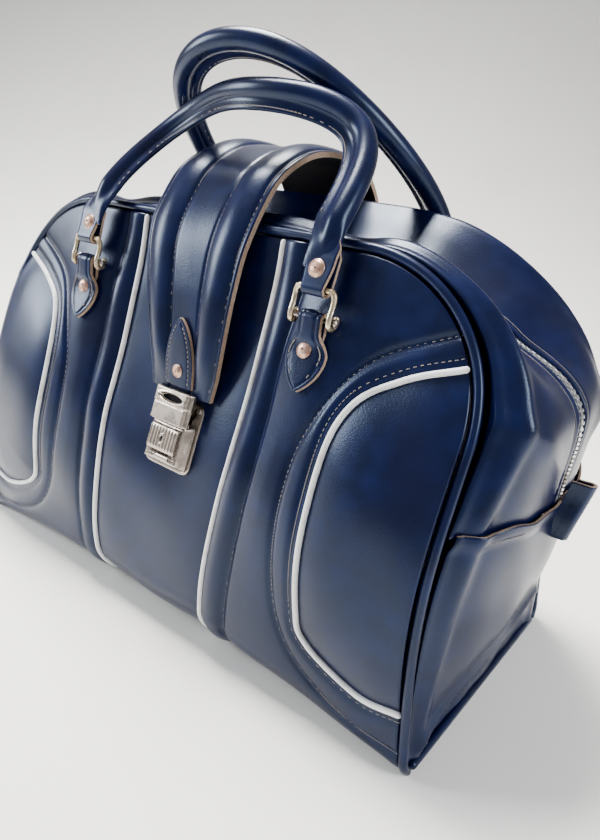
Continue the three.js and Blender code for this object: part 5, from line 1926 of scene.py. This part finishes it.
    def build(self) -> None:
        """Makes the lock."""
        nickel = self.finishes.nickel
        dress(self.plate(), nickel, "bag", ["lock_plate"])
        dress(self.case(), nickel, "bag", ["lock_case"])
        dress(self.slide(), nickel, "lock_slide", ["lock_release"])
        (collar, metal), (slot, dark) = self.keyhole()
        dress(collar, metal, "lock_slide", ["keyhole_bush"])
        dress(slot, dark, "lock_slide")
        dress(self.hasp(), nickel, "closing_flap", ["hasp_plate"])
        # The hasp's hollow gets a near-black floor: painted shade.
        dress(self.hasp_recess(), self.finishes.lining_and_shade, "closing_flap")


# ---- Studio ----------------------------------------------------------------------------------
@dataclass(frozen=True)
class SoftLight:
    """A soft light: where it stands, its width and height, its watts and its colour."""

    name: str
    place: tuple
    size: tuple
    power: float
    colour: tuple


@dataclass
class Studio:
    """A pale floor that curves up behind, soft lights, and the camera."""

    eye: tuple = (0.3474, -0.4098, 0.3434)
    forward: tuple = (-0.55224, 0.75484, -0.35392)
    right: tuple = (0.78195, 0.61620, 0.09410)
    up: tuple = (-0.28911, 0.22478, 0.93053)
    lens: float = 28.71
    bend_starts: float = 0.55
    bend_radius: float = 2.4
    backdrop_turn: float = math.radians(36)
    heart: tuple = (0.0, 0.0, 0.16)
    sky_colour: tuple = (0.93, 0.95, 1.0, 1.0)
    sky_strength: float = 0.46
    lights: tuple = (
        SoftLight("overhead", (-0.5, 0.15, 1.7), (0.8, 0.6), 116, (1.0, 0.98, 0.95)),
        SoftLight("left window", (-1.6, -1.1, 0.9), (0.6, 0.9), 48, (0.92, 0.96, 1.0)),
        SoftLight("right window", (1.7, 0.1, 0.9), (0.5, 0.9), 34, (0.95, 0.97, 1.0)),
    )

    def backdrop(self) -> None:
        """A sheet that is flat under the bag and bends upwards far behind it."""
        turn = np.linspace(0, np.pi / 2, 64)
        far, radius = self.bend_starts, self.bend_radius
        y = np.concatenate([[-5.0], far + radius * np.sin(turn), [far + radius]])
        z = np.concatenate([[0.0], radius * (1 - np.cos(turn)), [6.0]])
        x = np.array([-7.0, 7.0])
        grid = np.stack(np.broadcast_arrays(x[None, :], y[:, None], z[:, None]), axis=-1)
        angle = self.backdrop_turn
        c, s = math.cos(angle), math.sin(angle)
        grid = grid @ np.array([[c, s, 0], [-s, c, 0], [0, 0, 1]])
        floor = slab("pale_floor", grid, grid - np.array([0, 0, 0.01]))
        paint = Plain("pale floor", Tone.FLOOR, Tone.FLOOR_SHADE, 0.85, scale=3.0, bump_scale=700.0)
        floor.data.materials.append(paint.build())

    def light(self, soft: SoftLight) -> None:
        """Adds a soft rectangular light that faces the bag."""
        lamp = bpy.data.lights.new(soft.name, "AREA")
        lamp.shape, (lamp.size, lamp.size_y) = "RECTANGLE", soft.size
        lamp.energy, lamp.color = soft.power, soft.colour
        holder = bpy.data.objects.new(soft.name, lamp)
        holder.location = soft.place
        aim = Vector(self.heart) - Vector(soft.place)
        holder.rotation_euler = aim.to_track_quat("-Z", "Y").to_euler()
        bpy.context.scene.collection.objects.link(holder)

    def sky(self) -> None:
        """An even pale surround."""
        world = bpy.data.worlds.new("pale surround")
        world.use_nodes = True
        background = world.node_tree.nodes["Background"]
        background.inputs["Color"].default_value = self.sky_colour
        background.inputs["Strength"].default_value = self.sky_strength
        bpy.context.scene.world = world

    def camera(self) -> None:
        """The camera, with no depth of field."""
        data = bpy.data.cameras.new("camera")
        data.lens, data.sensor_width, data.sensor_fit = self.lens, 36.0, "AUTO"
        data.clip_start, data.clip_end = 0.01, 50.0
        holder = bpy.data.objects.new("camera", data)
        right, up, forward = (Vector(v).normalized() for v in (self.right, self.up, self.forward))
        holder.matrix_world = Matrix(
            [(right[k], up[k], -forward[k], self.eye[k]) for k in range(3)] + [(0, 0, 0, 1)]
        )
        bpy.context.scene.collection.objects.link(holder)
        bpy.context.scene.camera = holder

    def build(self) -> None:
        """Sets up the whole studio."""
        self.backdrop()
        self.sky()
        for soft in self.lights:
            self.light(soft)
        self.camera()


# ---- The whole bag ---------------------------------------------------------------------------
def carry_over(frame: dict, finishes: Finishes) -> None:
    """Gives the kept nodes their finish."""
    node = frame["nodes"]["base_board"]
    node.data.materials.clear()
    node.data.materials.append(finishes.board)


def main(frame: dict) -> None:
    """Builds the bag round its frame, piece by piece, and then the studio."""
    logging.basicConfig(level=logging.INFO, format="%(name)s: %(message)s")
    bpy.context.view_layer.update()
    form, finishes = Form(), Finishes()
    fittings = Fittings(form, finishes)
    Panels(form, finishes).build()
    Gussets(form, finishes).build()
    Zip(form, finishes).build()
    fittings.build()
    Handle(
        form, finishes, fittings, FRONT, rise=112 * MM, half_span=109 * MM, roundness=2.55,
        apex_shift=18 * MM, recline=(110 * MM, 43 * MM, 112 * MM),
    ).build()
    Handle(
        form, finishes, fittings, BACK, rise=142 * MM, half_span=112 * MM, roundness=2.0,
        apex_shift=-6 * MM, recline=(205 * MM, 127 * MM, 177 * MM),
    ).build()
    Strap(form, finishes, fittings).build()
    Lock(form, finishes).build()
    carry_over(frame, finishes)
    Studio().build()


if __name__ == "__main__":
    main(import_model())
